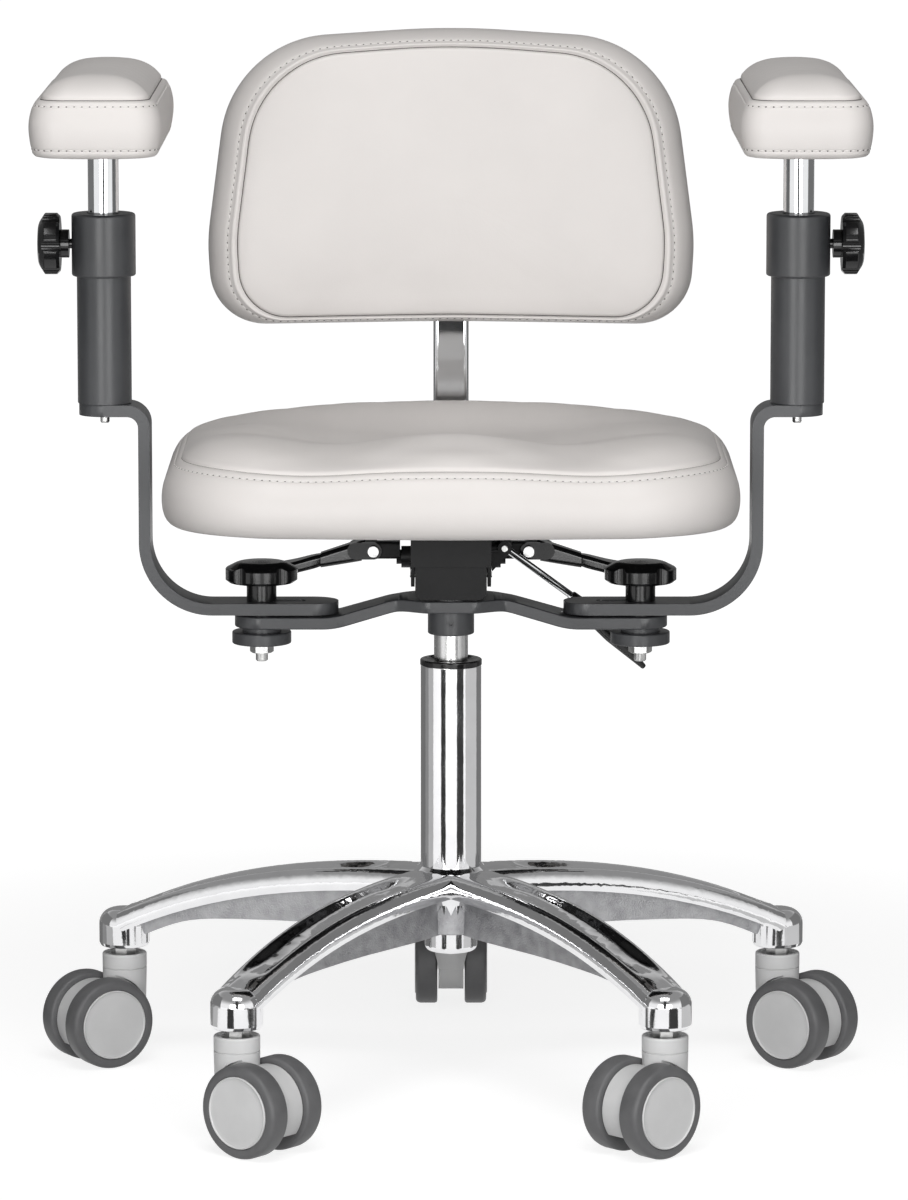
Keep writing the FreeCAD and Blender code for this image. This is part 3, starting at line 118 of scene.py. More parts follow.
# Arm pads: shrink is a share of the inset, most and end arc are shares of the half width
pad_corner = 24.0 * mm
pad_corner_least = 4.0 * mm
pad_corner_shrink = 0.5
pad_corner_most = 0.98
pad_end_arc = 8.0
pad_bow = 0.8 * mm
pad_slack = 0.8 * mm
pad_puff = 3.0 * mm
pad_staple_rise = 8.0 * mm
pad_hem_point = 3
pad_seam_point = 10
pad_crown = (2.0 * mm, 9.0 * mm)
pad_ripple = 0.3 * mm
pad_ripple_length = 27.0 * mm
pad_ripple_bend = 0.25

# Backrest: shrinks are shares of the inset, widths of the half width, the waist's level of the height
back_corner = 46.0 * mm
back_corner_shrink = 0.2
back_shoulder = 96.0 * mm
back_shoulder_shrink = 0.4
back_side_gap = 1.5 * mm
back_low_width = 0.985
back_low_bow = 2.5 * mm
back_low_arc = 900.0 * mm
back_waist_level = 0.29
back_waist_out = 1.5 * mm
back_waist_arc = 160.0 * mm
back_top_width = 0.9
back_top_drop = 10.0 * mm
back_top_bow = 2.0 * mm
back_top_arc = 700.0 * mm
back_seam_point = 9
back_seam_top = 12.0 * mm
back_seam_low = 7.0 * mm
back_wrap = 9.0 * mm
back_wrap_middle = 0.6
back_wrap_start = 12.0 * mm
back_slack = 1.2 * mm
back_puff = 5.0 * mm
back_pin_reach = 5.5 * mm
back_staple_depth = 5.0 * mm
back_swell = 2.0 * mm
back_swell_power = 4

# Rows across a seam: distance along the profile in millimetres, depth, and what runs there
sewn_edge = (
    (-10.0, 0.0, ""),
    (-8.3, 0.05, ""),
    (-7.3, 0.55, "stitch"),
    (-6.3, 0.05, ""),
    (-4.7, -0.3, ""),
    (-2.6, -0.3, ""),
    (-1.3, 0.1, ""),
    (-0.6, 0.8, ""),
    (0.0, 1.4, "crease"),
    (0.7, 0.7, ""),
    (1.7, 0.0, ""),
    (3.4, -0.3, ""),
    (6.0, 0.0, ""),
)
welted_edge = (
    (-12.0, 0.0, ""),
    (-10.0, 0.05, ""),
    (-9.0, 0.6, "stitch"),
    (-8.0, 0.1, ""),
    (-6.4, 0.2, ""),
    (-5.0, -0.7, ""),
    (-3.6, -1.1, ""),
    (-2.2, -0.8, ""),
    (-1.2, 0.2, ""),
    (-0.5, 1.7, ""),
    (0.0, 2.3, "crease"),
    (0.6, 1.6, ""),
    (1.6, 0.1, ""),
    (3.4, -0.3, ""),
    (6.5, 0.0, ""),
)
sewn_hem = (
    (-2.6, 0.0, ""),
    (-1.1, 0.05, ""),
    (0.0, 0.5, "hem"),
    (1.1, 0.05, ""),
    (2.6, 0.0, ""),
)

# Profile points this near to a seam's rows, in millimetres, give way to them
seam_margin = 0.5

# Rows along a stitch: share of its length, share of its width, lift in half widths
thread_rows = (
    (-0.5, 0.3, -1.1),
    (-0.36, 0.8, -0.1),
    (0.0, 1.0, 0.25),
    (0.36, 0.8, -0.1),
    (0.5, 0.3, -1.1),
)

# Rows up a needle hole: share of its radius, lift in radii
hole_rows = (
    (1.0, -0.5),
    (0.9, 0.2),
    (0.45, 0.42),
)

# Caster wheels
wheel_gap = 23.0 * mm
wheel_width = 20.0 * mm
wheel_radius = 37.5 * mm
tread_depth = 8.5 * mm
wheel_sides = 72

# Bolts under the posts
bar_thickness = 9.5 * mm
bolt_radius = 4.0 * mm
bolt_pitch = 1.25 * mm
bolt_threads = 5
bolt_sides = 32

# Base
arm_step = 360.0 / caster_count
arm_angles = tuple((k + 0.5) * arm_step - 90.0 for k in range(caster_count))
web_half = 5.0 * mm
web_tolerance = 0.4 * mm
web_facing = 0.9
underside_facing = -0.6
rough_hub_top = 150.0 * mm
rough_hub_radius = 36.0 * mm

# Lamps: one bounce keeps what the back bar mirrors of them off the seat
lamp_bounces = 1
lamp_target = (0.0, 0.0, 0.6)

# Upward part of a direction where the white begins and ends to dim towards the ceiling
ceiling_start = 0.22
ceiling_end = 0.75

# Studio cards
card_near = 0.45
card_far = 3.4
card_height = 2.4

# Camera
camera_place = (0.0, -5.308, 1.217)
camera_pitch = 8.71
camera_lens = 196.8
camera_shift = 0.0025


def new_material(name, metallic=0.0):
    """Empty node material with its shader."""
    made = bpy.data.materials.new(name)
    made.use_nodes = True
    tree = made.node_tree
    shader = tree.nodes["Principled BSDF"]
    shader.inputs["Metallic"].default_value = metallic
    return made, tree, shader


def noise(tree, scale, detail=3.0):
    """Noise that stays on the piece."""
    place = tree.nodes.new("ShaderNodeTexCoord")
    field = tree.nodes.new("ShaderNodeTexNoise")
    field.inputs["Scale"].default_value = scale
    field.inputs["Detail"].default_value = detail
    tree.links.new(place.outputs["Object"], field.inputs["Vector"])
    return field.outputs["Fac"]


def cells(tree, scale):
    """Small rounded cells that stay on the piece."""
    place = tree.nodes.new("ShaderNodeTexCoord")
    field = tree.nodes.new("ShaderNodeTexVoronoi")
    field.feature = "SMOOTH_F1"
    field.inputs["Scale"].default_value = scale
    tree.links.new(place.outputs["Object"], field.inputs["Vector"])
    return field.outputs["Distance"]


def tint(tree, shader, factor, dark, light):
    """Colour that drifts between two shades."""
    ramp = tree.nodes.new("ShaderNodeValToRGB")
    ramp.color_ramp.elements[0].position = noise_low
    ramp.color_ramp.elements[0].color = (*dark, 1.0)
    ramp.color_ramp.elements[1].position = noise_high
    ramp.color_ramp.elements[1].color = (*light, 1.0)
    tree.links.new(factor, ramp.inputs["Fac"])
    tree.links.new(ramp.outputs["Color"], shader.inputs["Base Color"])


def gloss(tree, shader, factor, low, high):
    """Roughness that drifts between two values."""
    spread = tree.nodes.new("ShaderNodeMapRange")
    spread.inputs["From Min"].default_value = noise_low
    spread.inputs["From Max"].default_value = noise_high
    spread.inputs["To Min"].default_value = low
    spread.inputs["To Max"].default_value = high
    tree.links.new(factor, spread.inputs["Value"])
    tree.links.new(spread.outputs["Result"], shader.inputs["Roughness"])


def relief(tree, shader, height, depth, strength=1.0):
    """Fine surface relief."""
    bump = tree.nodes.new("ShaderNodeBump")
    bump.inputs["Strength"].default_value = strength
    bump.inputs["Distance"].default_value = depth
    tree.links.new(height, bump.inputs["Height"])
    tree.links.new(bump.outputs["Normal"], shader.inputs["Normal"])


def surface(name, dark, light, rough, cloud, fine, depth, metallic=0.0, shine=0.5):
    """Material with drifting colour and gloss and a fine relief."""
    made, tree, shader = new_material(name, metallic)
    shader.inputs["Specular IOR Level"].default_value = shine
    drift = noise(tree, cloud)
    tint(tree, shader, drift, dark, light)
    gloss(tree, shader, drift, *rough)
    relief(tree, shader, noise(tree, fine, relief_detail), depth)
    return made


def leather_material():
    """Warm pale grey leatherette with a fine pebble grain."""
    made, tree, shader = new_material("leatherette")
    drift = noise(tree, 14.0)
    tint(tree, shader, drift, (0.735, 0.702, 0.681), (0.765, 0.731, 0.709))
    gloss(tree, shader, drift, 0.40, 0.48)
    shader.inputs["Specular IOR Level"].default_value = 0.4
    relief(tree, shader, cells(tree, 1100.0), 0.09 * mm, 0.5)
    return made


leather = leather_material()
thread = surface(
    "thread", (0.76, 0.73, 0.71), (0.84, 0.81, 0.79),
    rough=(0.55, 0.7), cloud=300.0, fine=4000.0, depth=0.1 * mm,
)
# Painted shade: a dark colour for the lines in seam creases and the dots at needle holes, standing in for
# the shadow inside them
painted_seam_shade = surface(
    "painted_seam_shade", (0.07, 0.065, 0.06), (0.11, 0.10, 0.095),
    rough=(0.7, 0.85), cloud=200.0, fine=3000.0, depth=0.05 * mm,
)
polished = surface(
    "polished_aluminium", (0.80, 0.80, 0.81), (0.86, 0.86, 0.87),
    rough=(0.05, 0.11), cloud=40.0, fine=60.0, depth=0.12 * mm, metallic=1.0,
)
rough_cast = surface(
    "rough_cast_aluminium", (0.30, 0.30, 0.31), (0.46, 0.46, 0.47),
    rough=(0.42, 0.6), cloud=90.0, fine=700.0, depth=0.5 * mm, metallic=1.0,
)
chrome = surface(
    "chrome", (0.74, 0.75, 0.76), (0.80, 0.81, 0.82),
    rough=(0.03, 0.07), cloud=30.0, fine=200.0, depth=0.004 * mm, metallic=1.0,
)
satin_steel = surface(
    "satin_steel", (0.66, 0.66, 0.66), (0.74, 0.74, 0.74),
    rough=(0.2, 0.3), cloud=60.0, fine=900.0, depth=0.01 * mm, metallic=1.0,
)
zinc = surface(
    "zinc_steel", (0.56, 0.56, 0.56), (0.68, 0.68, 0.67),
    rough=(0.25, 0.42), cloud=120.0, fine=900.0, depth=0.03 * mm, metallic=1.0,
)
powder = surface(
    "dark_powder_coat", (0.054, 0.056, 0.060), (0.066, 0.068, 0.072),
    rough=(0.30, 0.38), cloud=30.0, fine=1600.0, depth=0.05 * mm,
)
black_steel = surface(
    "black_steel", (0.012, 0.012, 0.0125), (0.020, 0.020, 0.0205),
    rough=(0.36, 0.48), cloud=30.0, fine=1300.0, depth=0.05 * mm, shine=0.15,
)
black_plastic = surface(
    "black_plastic", (0.006, 0.006, 0.0065), (0.010, 0.010, 0.0105),
    rough=(0.08, 0.18), cloud=50.0, fine=700.0, depth=0.012 * mm,
)
grey_plastic = surface(
    "grey_plastic", (0.68, 0.68, 0.68), (0.73, 0.73, 0.73),
    rough=(0.32, 0.44), cloud=40.0, fine=1500.0, depth=0.03 * mm,
)
grey_tread = surface(
    "grey_tread", (0.105, 0.105, 0.108), (0.135, 0.135, 0.138),
    rough=(0.42, 0.56), cloud=60.0, fine=900.0, depth=0.06 * mm,
)
dust_cloth = surface(
    "dust_cloth", (0.018, 0.018, 0.018), (0.034, 0.034, 0.034),
    rough=(0.75, 0.9), cloud=160.0, fine=2200.0, depth=0.15 * mm,
)

finishes = {
    "column_tube": polished,
    "column_bushing": black_plastic,
    "thrust_bearing": zinc,
    "piston_rod": chrome,
    "pressure_tube": satin_steel,
    "release_pin": zinc,
    "clamp_collar": powder,
    "arm_bracket": powder,
    "clamp_discs": powder,
    "hinge_bolts": zinc,
    "caster_stems": zinc,
    "mechanism_housing": black_steel,
    "pivot_pins": zinc,
    "lever_shaft": black_steel,
    "left_lever": black_plastic,
    "right_lever": black_plastic,
    "height_hub": black_steel,
    "height_rod": chrome,
    "height_grip": black_plastic,
    "seat_carrier": black_steel,
    "seat_board": dust_cloth,
    "back_knuckle": black_steel,
    "back_bar": chrome,
    "back_slider": black_steel,
    "back_knob": black_plastic,
    "back_board": black_plastic,
}
for side in sides:
    finishes["arm_bar_" + side] = powder
    finishes["pivot_washer_" + side] = black_plastic
    finishes["star_knob_" + side] = black_plastic
    finishes["post_" + side] = powder
    finishes["clamp_knob_" + side] = black_plastic
    finishes["pad_rod_" + side] = chrome
    finishes["pad_plate_" + side] = black_steel
for number in range(1, caster_count + 1):
    finishes["caster" + str(number) + "_housing"] = grey_plastic

edge_rounds = {
    "arm_bar_left": 1.6 * mm,
    "arm_bar_right": 1.6 * mm,
    "arm_bracket": 1.2 * mm,
    "mechanism_housing": 0.7 * mm,
    "seat_carrier": 1.0 * mm,
    "back_slider": 1.5 * mm,
    "back_knuckle": 1.0 * mm,
    "lever_shaft": 0.6 * mm,
    "seat_board": 1.5 * mm,
    "back_board": 3.0 * mm,
    "hinge_bolts": 0.5 * mm,
    "caster_stems": 0.5 * mm,
}


def dress_node(name, material):
    """Give a rigid piece its finish, and round its sharp edges."""
    node = nodes[name]
    node.data.materials.clear()
    node.data.materials.append(material)
    if name not in edge_rounds:
        return
    weld = node.modifiers.new("weld", "WELD")
    weld.merge_threshold = weld_reach
    bevel = node.modifiers.new("edge", "BEVEL")
    bevel.width = edge_rounds[name]
    bevel.segments = 3
    bevel.limit_method = "ANGLE"
    bevel.angle_limit = math.radians(40)
    bevel.harden_normals = True


for name, material in finishes.items():
    dress_node(name, material)


def add_piece(name, mesh, material, body):
    """New piece on a body."""
    piece = bpy.data.objects.new(name, mesh)
    scene.collection.objects.link(piece)
    mesh.materials.clear()
    mesh.materials.append(material)
    for face in mesh.polygons:
        face.use_smooth = True
    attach(piece, body)
    return piece


def mesh_of(name, points, faces):
    """Mesh with its faces turned outwards."""
    mesh = bpy.data.meshes.new(name)
    mesh.from_pydata(points, [], faces)
    work = bmesh.new()
    work.from_mesh(mesh)
    bmesh.ops.recalc_face_normals(work, faces=work.faces)
    work.to_mesh(mesh)
    work.free()
    return mesh


def ladder(first, count):
    """Faces across a ring, from one side to the mirrored one."""
    faces = []
    for i in range(count // 2):
        corners = (i, i + 1, (count - i - 1) % count, (count - i) % count)
        faces.append(tuple(dict.fromkeys(first + k for k in corners)))
    return faces


def closed_skin(name, rings):
    """Closed mesh through rings of equal count."""
    count = len(rings[0])
    points = [point for ring in rings for point in ring]
    faces = []
    for row in range(len(rings) - 1):
        for i in range(count):
            j = (i + 1) % count
            low = row * count
            faces.append((low + i, low + j, low + count + j, low + count + i))
    faces += ladder(0, count)
    faces += ladder(len(points) - count, count)
    return mesh_of(name, points, faces)


def circle(count):
    """Cosine and sine at equal steps round a circle."""
    angles = [2 * math.pi * k / count for k in range(count)]
    return [(math.cos(angle), math.sin(angle)) for angle in angles]


def turned_mesh(name, profile, place, count):
    """Turned mesh from (radius, height) rows about Z, put in place by a matrix."""
    rings = []
    for radius, height in profile:
        ring = [Vector((radius * cosine, radius * sine, height)) for cosine, sine in circle(count)]
        rings.append([place @ point for point in ring])
    return closed_skin(name, rings)


def rounded_outline(points, radii):
    """Even points round a closed outline with rounded corners, from the middle of its low side on."""
    fine = []
    total = len(points)
    arc_steps = 24
    for i in range(total):
        here = Vector(points[i])
        before = (Vector(points[i - 1]) - here).normalized()
        after = (Vector(points[(i + 1) % total]) - here).normalized()
        half = before.angle(after) / 2
        reach = radii[i] / math.tan(half)
        centre = here + (before + after).normalized() * (radii[i] / math.sin(half))
        start = here + before * reach - centre
        end = here + after * reach - centre
        for k in range(arc_steps + 1):
            fine.append(centre + start.slerp(end, k / arc_steps) * radii[i])
    middle = sum(fine, Vector((0.0, 0.0))) / len(fine)
    low_side = [k for k, point in enumerate(fine) if point.y <= middle.y]
    first = min(low_side, key=lambda k: abs(fine[k].x - middle.x))
    fine = fine[first:] + fine[:first]
    return evenly(fine, ring_points)


def evenly(points, count):
    """Resample a closed line at equal steps."""
    lengths = [0.0]
    for i in range(len(points)):
        lengths.append(lengths[-1] + (points[(i + 1) % len(points)] - points[i]).length)
    result = []
    k = 0
    for i in range(count):
        target = lengths[-1] * i / count
        while lengths[k + 1] < target:
            k += 1
        span = max(lengths[k + 1] - lengths[k], 1e-12)
        share = (target - lengths[k]) / span
        result.append(points[k].lerp(points[(k + 1) % len(points)], share))
    return result


def smooth_step(value, low, high):
    """Soft switch from 0 to 1."""
    share = min(1.0, max(0.0, (value - low) / (high - low)))
    return share * share * (3 - 2 * share)


def hump(value, width):
    """Bell curve of height 1."""
    return math.exp(-((value / width) ** 2))


def along(profile, distance):
    """Point and inward normal at a distance along a profile."""
    for start, end in zip(profile, profile[1:]):
        span = (end - start).length
        step = (end - start) / span
        if distance <= span:
            break
        distance -= span
    return start + step * distance, Vector((step.y, -step.x))


def sewn_rows(points, seams):
    """Rows (inset, rise, what runs there) of a profile, with fine rows across each seam.

    A seam is the number of the profile's point that it runs through, and its rows."""
    profile = [Vector(point) for point in points]
    reach = [0.0]
    for start, end in zip(profile, profile[1:]):
        reach.append(reach[-1] + (end - start).length)
    spans = [(reach[number] + rows[0][0], reach[number] + rows[-1][0]) for number, rows in seams]
    placed = []
    for point, distance in zip(profile, reach):
        if not any(low - seam_margin < distance < high + seam_margin for low, high in spans):
            placed.append((distance, point, ""))
    for number, rows in seams:
        for shift, depth, tag in rows:
            point, inward = along(profile, reach[number] + shift)
            placed.append((reach[number] + shift, point + inward * depth, tag))
    placed.sort(key=lambda row: row[0])
    return [(point.x * mm, point.y * mm, tag) for distance, point, tag in placed]


def evaluated_mesh(piece):
    """Mesh of a piece with its modifiers applied."""
    graph = bpy.context.evaluated_depsgraph_get()
    return bpy.data.meshes.new_from_object(piece.evaluated_get(graph), depsgraph=graph)


def apply_modifiers(piece):
    """Keep the modified mesh, drop the modifiers."""
    mesh = evaluated_mesh(piece)
    piece.modifiers.clear()
    old = piece.data
    piece.data = mesh
    bpy.data.meshes.remove(old)


def cloth_moves(form, held, cap):
    """How far cloth under pressure carries each point of a form, held along its seams and its fixed edge."""
    trial = bpy.data.objects.new("cloth_trial", form.copy())
    scene.collection.objects.link(trial)
    remesh = trial.modifiers.new("remesh", "REMESH")
    remesh.mode = "VOXEL"
    remesh.voxel_size = voxel
    apply_modifiers(trial)
    smooth = trial.modifiers.new("smooth", "SMOOTH")
    smooth.iterations = 4
    apply_modifiers(trial)
    rest = [vertex.co.copy() for vertex in trial.data.vertices]
    group = trial.vertex_groups.new(name="held")
    group.add([i for i, point in enumerate(rest) if held(point)], 1.0, "REPLACE")
    cloth = trial.modifiers.new("cloth", "CLOTH")
    cloth.settings.quality = 6
    cloth.settings.mass = 0.3
    cloth.settings.tension_stiffness = 15.0
    cloth.settings.compression_stiffness = 15.0
    cloth.settings.shear_stiffness = 8.0
    cloth.settings.bending_stiffness = 3.0
    cloth.settings.use_pressure = True
    cloth.settings.uniform_pressure_force = cloth_pressure
    cloth.settings.vertex_group_mass = group.name
    cloth.settings.effector_weights.gravity = 0.0
    cloth.point_cache.frame_start = 1
    cloth.point_cache.frame_end = cloth_frames
    for step in range(1, cloth_frames + 1):
        scene.frame_set(step)
    apply_modifiers(trial)
    scene.frame_set(1)
    finder = KDTree(len(rest))
    moves = []
    for i, (vertex, start) in enumerate(zip(trial.data.vertices, rest)):
        finder.insert(start, i)
        move = vertex.co - start
        length = max(move.length, 1e-9)
        moves.append(move * (cap * (1 - math.exp(-length / cap)) / length))
    finder.balance()
    blended = []
    for vertex in form.vertices:
        total = Vector()
        weight = 0.0
        for point, i, distance in finder.find_n(vertex.co, spread_count):
            share = 1.0 / (distance + spread_softness)
            total += moves[i] * share
            weight += share
        blended.append(total / weight)
    mesh = trial.data
    bpy.data.objects.remove(trial)
    bpy.data.meshes.remove(mesh)
    return blended


def padded_piece(name, rings, body, held, cap, node):
    """Cushion through rings, blown up by cloth under pressure. Also gives its rings with their normals."""
    piece = add_piece(name, closed_skin(name, rings), leather, body)
    for vertex, move in zip(piece.data.vertices, cloth_moves(piece.data, held, cap)):
        vertex.co += move
    points = [(vertex.co.copy(), vertex.normal.copy()) for vertex in piece.data.vertices]
    lines = [points[row * ring_points:(row + 1) * ring_points] for row in range(len(rings))]
    subdivide = piece.modifiers.new("subdivide", "SUBSURF")
    subdivide.levels = 1
    subdivide.render_levels = 1
    apply_modifiers(piece)
    for face in piece.data.polygons:
        face.use_smooth = True
    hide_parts(node)
    return lines


def line_frames(path, pitch):
    """Point, direction and surface normal at equal steps along a closed line."""
    points = [point for point, normal in path]
    total = sum((points[i] - points[i - 1]).length for i in range(len(points)))
    count = max(3, round(total / pitch))
    line = evenly(points, count)
    frames = []
    for i, point in enumerate(line):
        ahead = (line[(i + 1) % count] - line[i - 1]).normalized()
        near = min(range(len(points)), key=lambda m: (points[m] - point).length_squared)
        normal = path[near][1]
        normal = (normal - ahead * normal.dot(ahead)).normalized()
        frames.append((point, ahead, normal))
    return frames


def tube_faces(first, rows, around):
    """Faces of an open tube of rows."""
    faces = []
    for row in range(rows - 1):
        low = first + row * around
        for k in range(around):
            after = (k + 1) % around
            faces.append((low + k, low + after, low + around + after, low + around + k))
    return faces


def capped_tube_faces(first, rows, around):
    """Faces of a tube of rows that is closed at both ends."""
    last = first + (rows - 1) * around
    caps = [tuple(start + k for k in range(around)) for start in (first, last)]
    return tube_faces(first, rows, around) + caps


def stitch_row(name, path, body):
    """Row of separate stitches sunk a little into the cover, with a dark dot of painted shade for the needle
    hole between neighbours.
    """
    half = stitch_width / 2
    thread_points = []
    thread_faces = []
    hole_points = []
    hole_faces = []
    for centre, ahead, normal in line_frames(path, stitch_pitch):
        across = ahead.cross(normal)
        thread_faces += capped_tube_faces(len(thread_points), len(thread_rows), line_sides)
        for share, thick, lift in thread_rows:
            middle = centre + ahead * (share * stitch_length) + normal * (lift * half)
            for cosine, sine in circle(line_sides):
                offset = across * cosine + normal * sine
                thread_points.append(middle + offset * (half * thick))
        hole_faces += capped_tube_faces(len(hole_points), len(hole_rows), line_sides)
        hole = centre + ahead * (stitch_pitch / 2)
        for scale, lift in hole_rows:
            for cosine, sine in circle(line_sides):
                offset = across * (cosine * hole_narrowing) + ahead * sine
                hole_points.append(hole + offset * (hole_radius * scale) + normal * (hole_radius * lift))
    add_piece(name, mesh_of(name, thread_points, thread_faces), thread, body)
    # Each needle hole is a small dark dot of painted shade in place of the shadow inside the hole
    holes = name + "_holes"
    add_piece(holes, mesh_of(holes, hole_points, hole_faces), painted_seam_shade, body)


def crease_line(name, path, body, radius):
    """Painted shade in the bottom of a seam: a thin dark line that lies in its crease."""
    points = []
    frames = line_frames(path, crease_step)
    for centre, ahead, normal in frames + frames[:1]:
        across = ahead.cross(normal)
        middle = centre + normal * (radius * crease_lift)
        for cosine, sine in circle(line_sides):
            points.append(middle + (across * cosine + normal * sine) * radius)
    faces = tube_faces(0, len(frames) + 1, line_sides)
    piece = add_piece(name, mesh_of(name, points, faces), painted_seam_shade, body)
    weld = piece.modifiers.new("weld", "WELD")
    weld.merge_threshold = weld_reach


def sew(name, rows, lines, body, radius=crease_radius):
    """Stitches, and dark lines of painted shade in the creases, on the rows that carry them."""
    for (inset, rise, tag), line in zip(rows, lines):
        if tag == "crease":
            # The crease gets a thin dark line of painted shade
            crease_line(name + "_crease", line, body, radius)
        elif tag:
            stitch_row(name + "_" + tag + "_stitches", line, body)


# Seat
seat_low, seat_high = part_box("seat_cushion")
seat_half_width = (seat_high.x - seat_low.x) / 2
seat_half_depth = (seat_high.y - seat_low.y) / 2
seat_bottom = seat_low.z
seat_profile = (
    (17.0, 0.0),
    (9.0, 1.5),
    (4.0, 6.0),
    (1.5, 13.0),
    (0.6, 21.0),
    (1.0, 30.0),
    (3.2, 39.5),
    (8.5, 48.5),
    (16.0, 55.5),
    (18.5, 58.0),
    (22.0, 60.5),
    (27.0, 63.0),
    (34.0, 65.4),
    (43.0, 67.1),
    (55.0, 68.0),
    (70.0, 68.0),
)
seat_seam_rise = seat_profile[seat_seam_point][1] * mm
seat_level = seat_profile[-1][1] * mm
seat_rows = sewn_rows(seat_profile, ((seat_seam_point, sewn_edge),))


def seat_ring(inset):
    """Plan outline of the seat, drawn in by an inset."""
    half_w = seat_half_width - inset
    half_d = seat_half_depth - inset
    front = seat_front_corner - inset * seat_corner_shrink
    rear = seat_rear_corner - inset * seat_corner_shrink
    points = [
        (0.0, -half_d),
        (half_w, seat_bow - half_d),
        (half_w, half_d),
        (-half_w, half_d),
        (-half_w, seat_bow - half_d),
    ]
    return rounded_outline(points, [seat_front_arc, front, rear, rear, front])


def seat_seam_shift(x, y):
    """The seam dips under the thighs."""
    front = 1.0 - smooth_step(y, *seam_dip_ramp)
    return -seam_dip * hump(abs(x) - seam_dip_aside, seam_dip_width) * front


def seat_contour(x, y):
    """Pommel, raised sides, thigh hollows, dish and raised rear."""
    height = 0.0
    for rise, aside, width, place, length in (pommel, raised_sides, thigh_hollows):
        height += rise * hump(abs(x) - aside, width) * hump(y - place, length)
    dip = smooth_step(y, *dish_front) * (1.0 - smooth_step(y, *dish_rear))
    height -= dish_depth * hump(x, dish_width) * dip
    height += rear_rise * hump(x, rear_width) * smooth_step(y, *rear_ramp)
    return height


def seat_point(p, rise):
    """Point of the seat cover above a plan point."""
    share = min(1.0, rise / seat_seam_rise)
    crown = smooth_step(rise, seat_seam_rise, seat_level)
    shift = seat_seam_shift(p.x, p.y) * share * (1 - crown) + seat_contour(p.x, p.y) * crown
    return Vector((p.x, p.y, seat_bottom + rise + shift))


def seat_rings():
    """Rings of the seat cushion before it is blown up."""
    rings = []
    for inset, rise, tag in seat_rows:
        rings.append([seat_point(p, rise) for p in seat_ring(inset + seat_slack)])
    last = seat_ring(seat_rows[-1][0] + seat_slack)
    for k in range(1, inner_rings):
        rings.append([seat_point(p * (1 - k / inner_rings), seat_level) for p in last])
    return rings


def seat_held(point):
    """Seam and stapled edge of the seat cover."""
    seam = seat_bottom + seat_seam_rise + seat_seam_shift(point.x, point.y)
    aside = abs(point.x) > seat_half_width * seat_rim_across
    at_end = abs(point.y) > seat_half_depth * seat_rim_along
    on_seam = abs(point.z - seam) < pin_reach and (aside or at_end)
    return on_seam or point.z < seat_bottom + seat_staple_rise


seat_lines = padded_piece("seat_upholstery", seat_rings(), "seat", seat_held, seat_puff, "seat_cushion")
sew("seat", seat_rows, seat_lines, "seat", soft_crease_radius)

# Arm pads
pad_profile = (
    (9.5, 0.0),
    (5.5, 1.0),
    (3.4, 3.6),
    (2.6, 7.0),
    (1.6, 12.0),
    (0.6, 19.0),
    (0.4, 26.0),
    (1.2, 33.0),
    (3.2, 40.0),
    (6.0, 44.5),
    (9.5, 47.0),
    (11.2, 49.8),
    (13.8, 53.2),
    (17.4, 56.6),
    (22.4, 60.0),
    (29.0, 62.8),
    (37.0, 64.6),
    (46.0, 65.2),
)
pad_seam_rise = pad_profile[pad_seam_point][1] * mm
pad_rows = sewn_rows(pad_profile, ((pad_hem_point, sewn_hem), (pad_seam_point, sewn_edge)))


def pad_piece(side):
    """One arm pad with its seam and two rows of stitches."""
    low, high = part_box("arm_pad_" + side)
    centre = (low.x + high.x) / 2
    half_width = (high.x - low.x) / 2
    half_length = (high.y - low.y) / 2
    bottom = low.z
    seam = bottom + pad_seam_rise
    body = "pad_" + side

    def ring(inset, rise):
        half_w = half_width - inset
        half_l = half_length - inset
        corner = max(pad_corner - inset * pad_corner_shrink, pad_corner_least)
        corner = min(corner, half_w * pad_corner_most)
        bow = pad_bow * half_w / half_width
        points = [
            (-half_w, -half_l),
            (0.0, -half_l - bow),
            (half_w, -half_l),
            (half_w, half_l),
            (0.0, half_l + bow),
            (-half_w, half_l),
        ]
        end_arc = half_w * pad_end_arc
        crown = smooth_step(rise, pad_seam_rise + pad_crown[0], pad_seam_rise + pad_crown[1])
        made = []
        for p in rounded_outline(points, [corner, end_arc, corner, corner, end_arc, corner]):
            bent = p.y + pad_ripple_bend * p.x * p.x / half_width
            wave = pad_ripple * math.sin(2 * math.pi * bent / pad_ripple_length)
            made.append(Vector((centre + p.x, p.y, bottom + rise + wave * crown)))
        return made

    def held(point):
        return abs(point.z - seam) < pin_reach or point.z < bottom + pad_staple_rise

    rings = [ring(inset + pad_slack, rise) for inset, rise, tag in pad_rows]
    lines = padded_piece("pad_upholstery_" + side, rings, body, held, pad_puff, "arm_pad_" + side)
    sew("pad_" + side, pad_rows, lines, body)


for side in sides:
    pad_piece(side)

# Backrest
back_low, back_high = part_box("back_cushion")
back_half_width = (back_high.x - back_low.x) / 2
back_rear = back_high.y
back_profile = (
    (7.0, 0.0),
    (3.0, 1.5),
    (1.0, 5.0),
    (0.2, 11.0),
    (0.6, 18.0),
    (3.0, 26.0),
    (7.5, 33.5),
    (13.0, 39.5),
    (19.0, 44.0),
    (25.0, 47.0),
    (28.0, 48.6),
    (32.0, 50.2),
    (38.0, 51.7),
)
back_seam_side = back_profile[back_seam_point][0] * mm
back_rows = sewn_rows(back_profile, ((back_seam_point, welted_edge),))


def back_wrap_at(x):
    """How far the backrest is wrapped towards the sitter at a distance from its middle."""
    return back_wrap * ((x / back_half_width) ** 2 - back_wrap_middle)


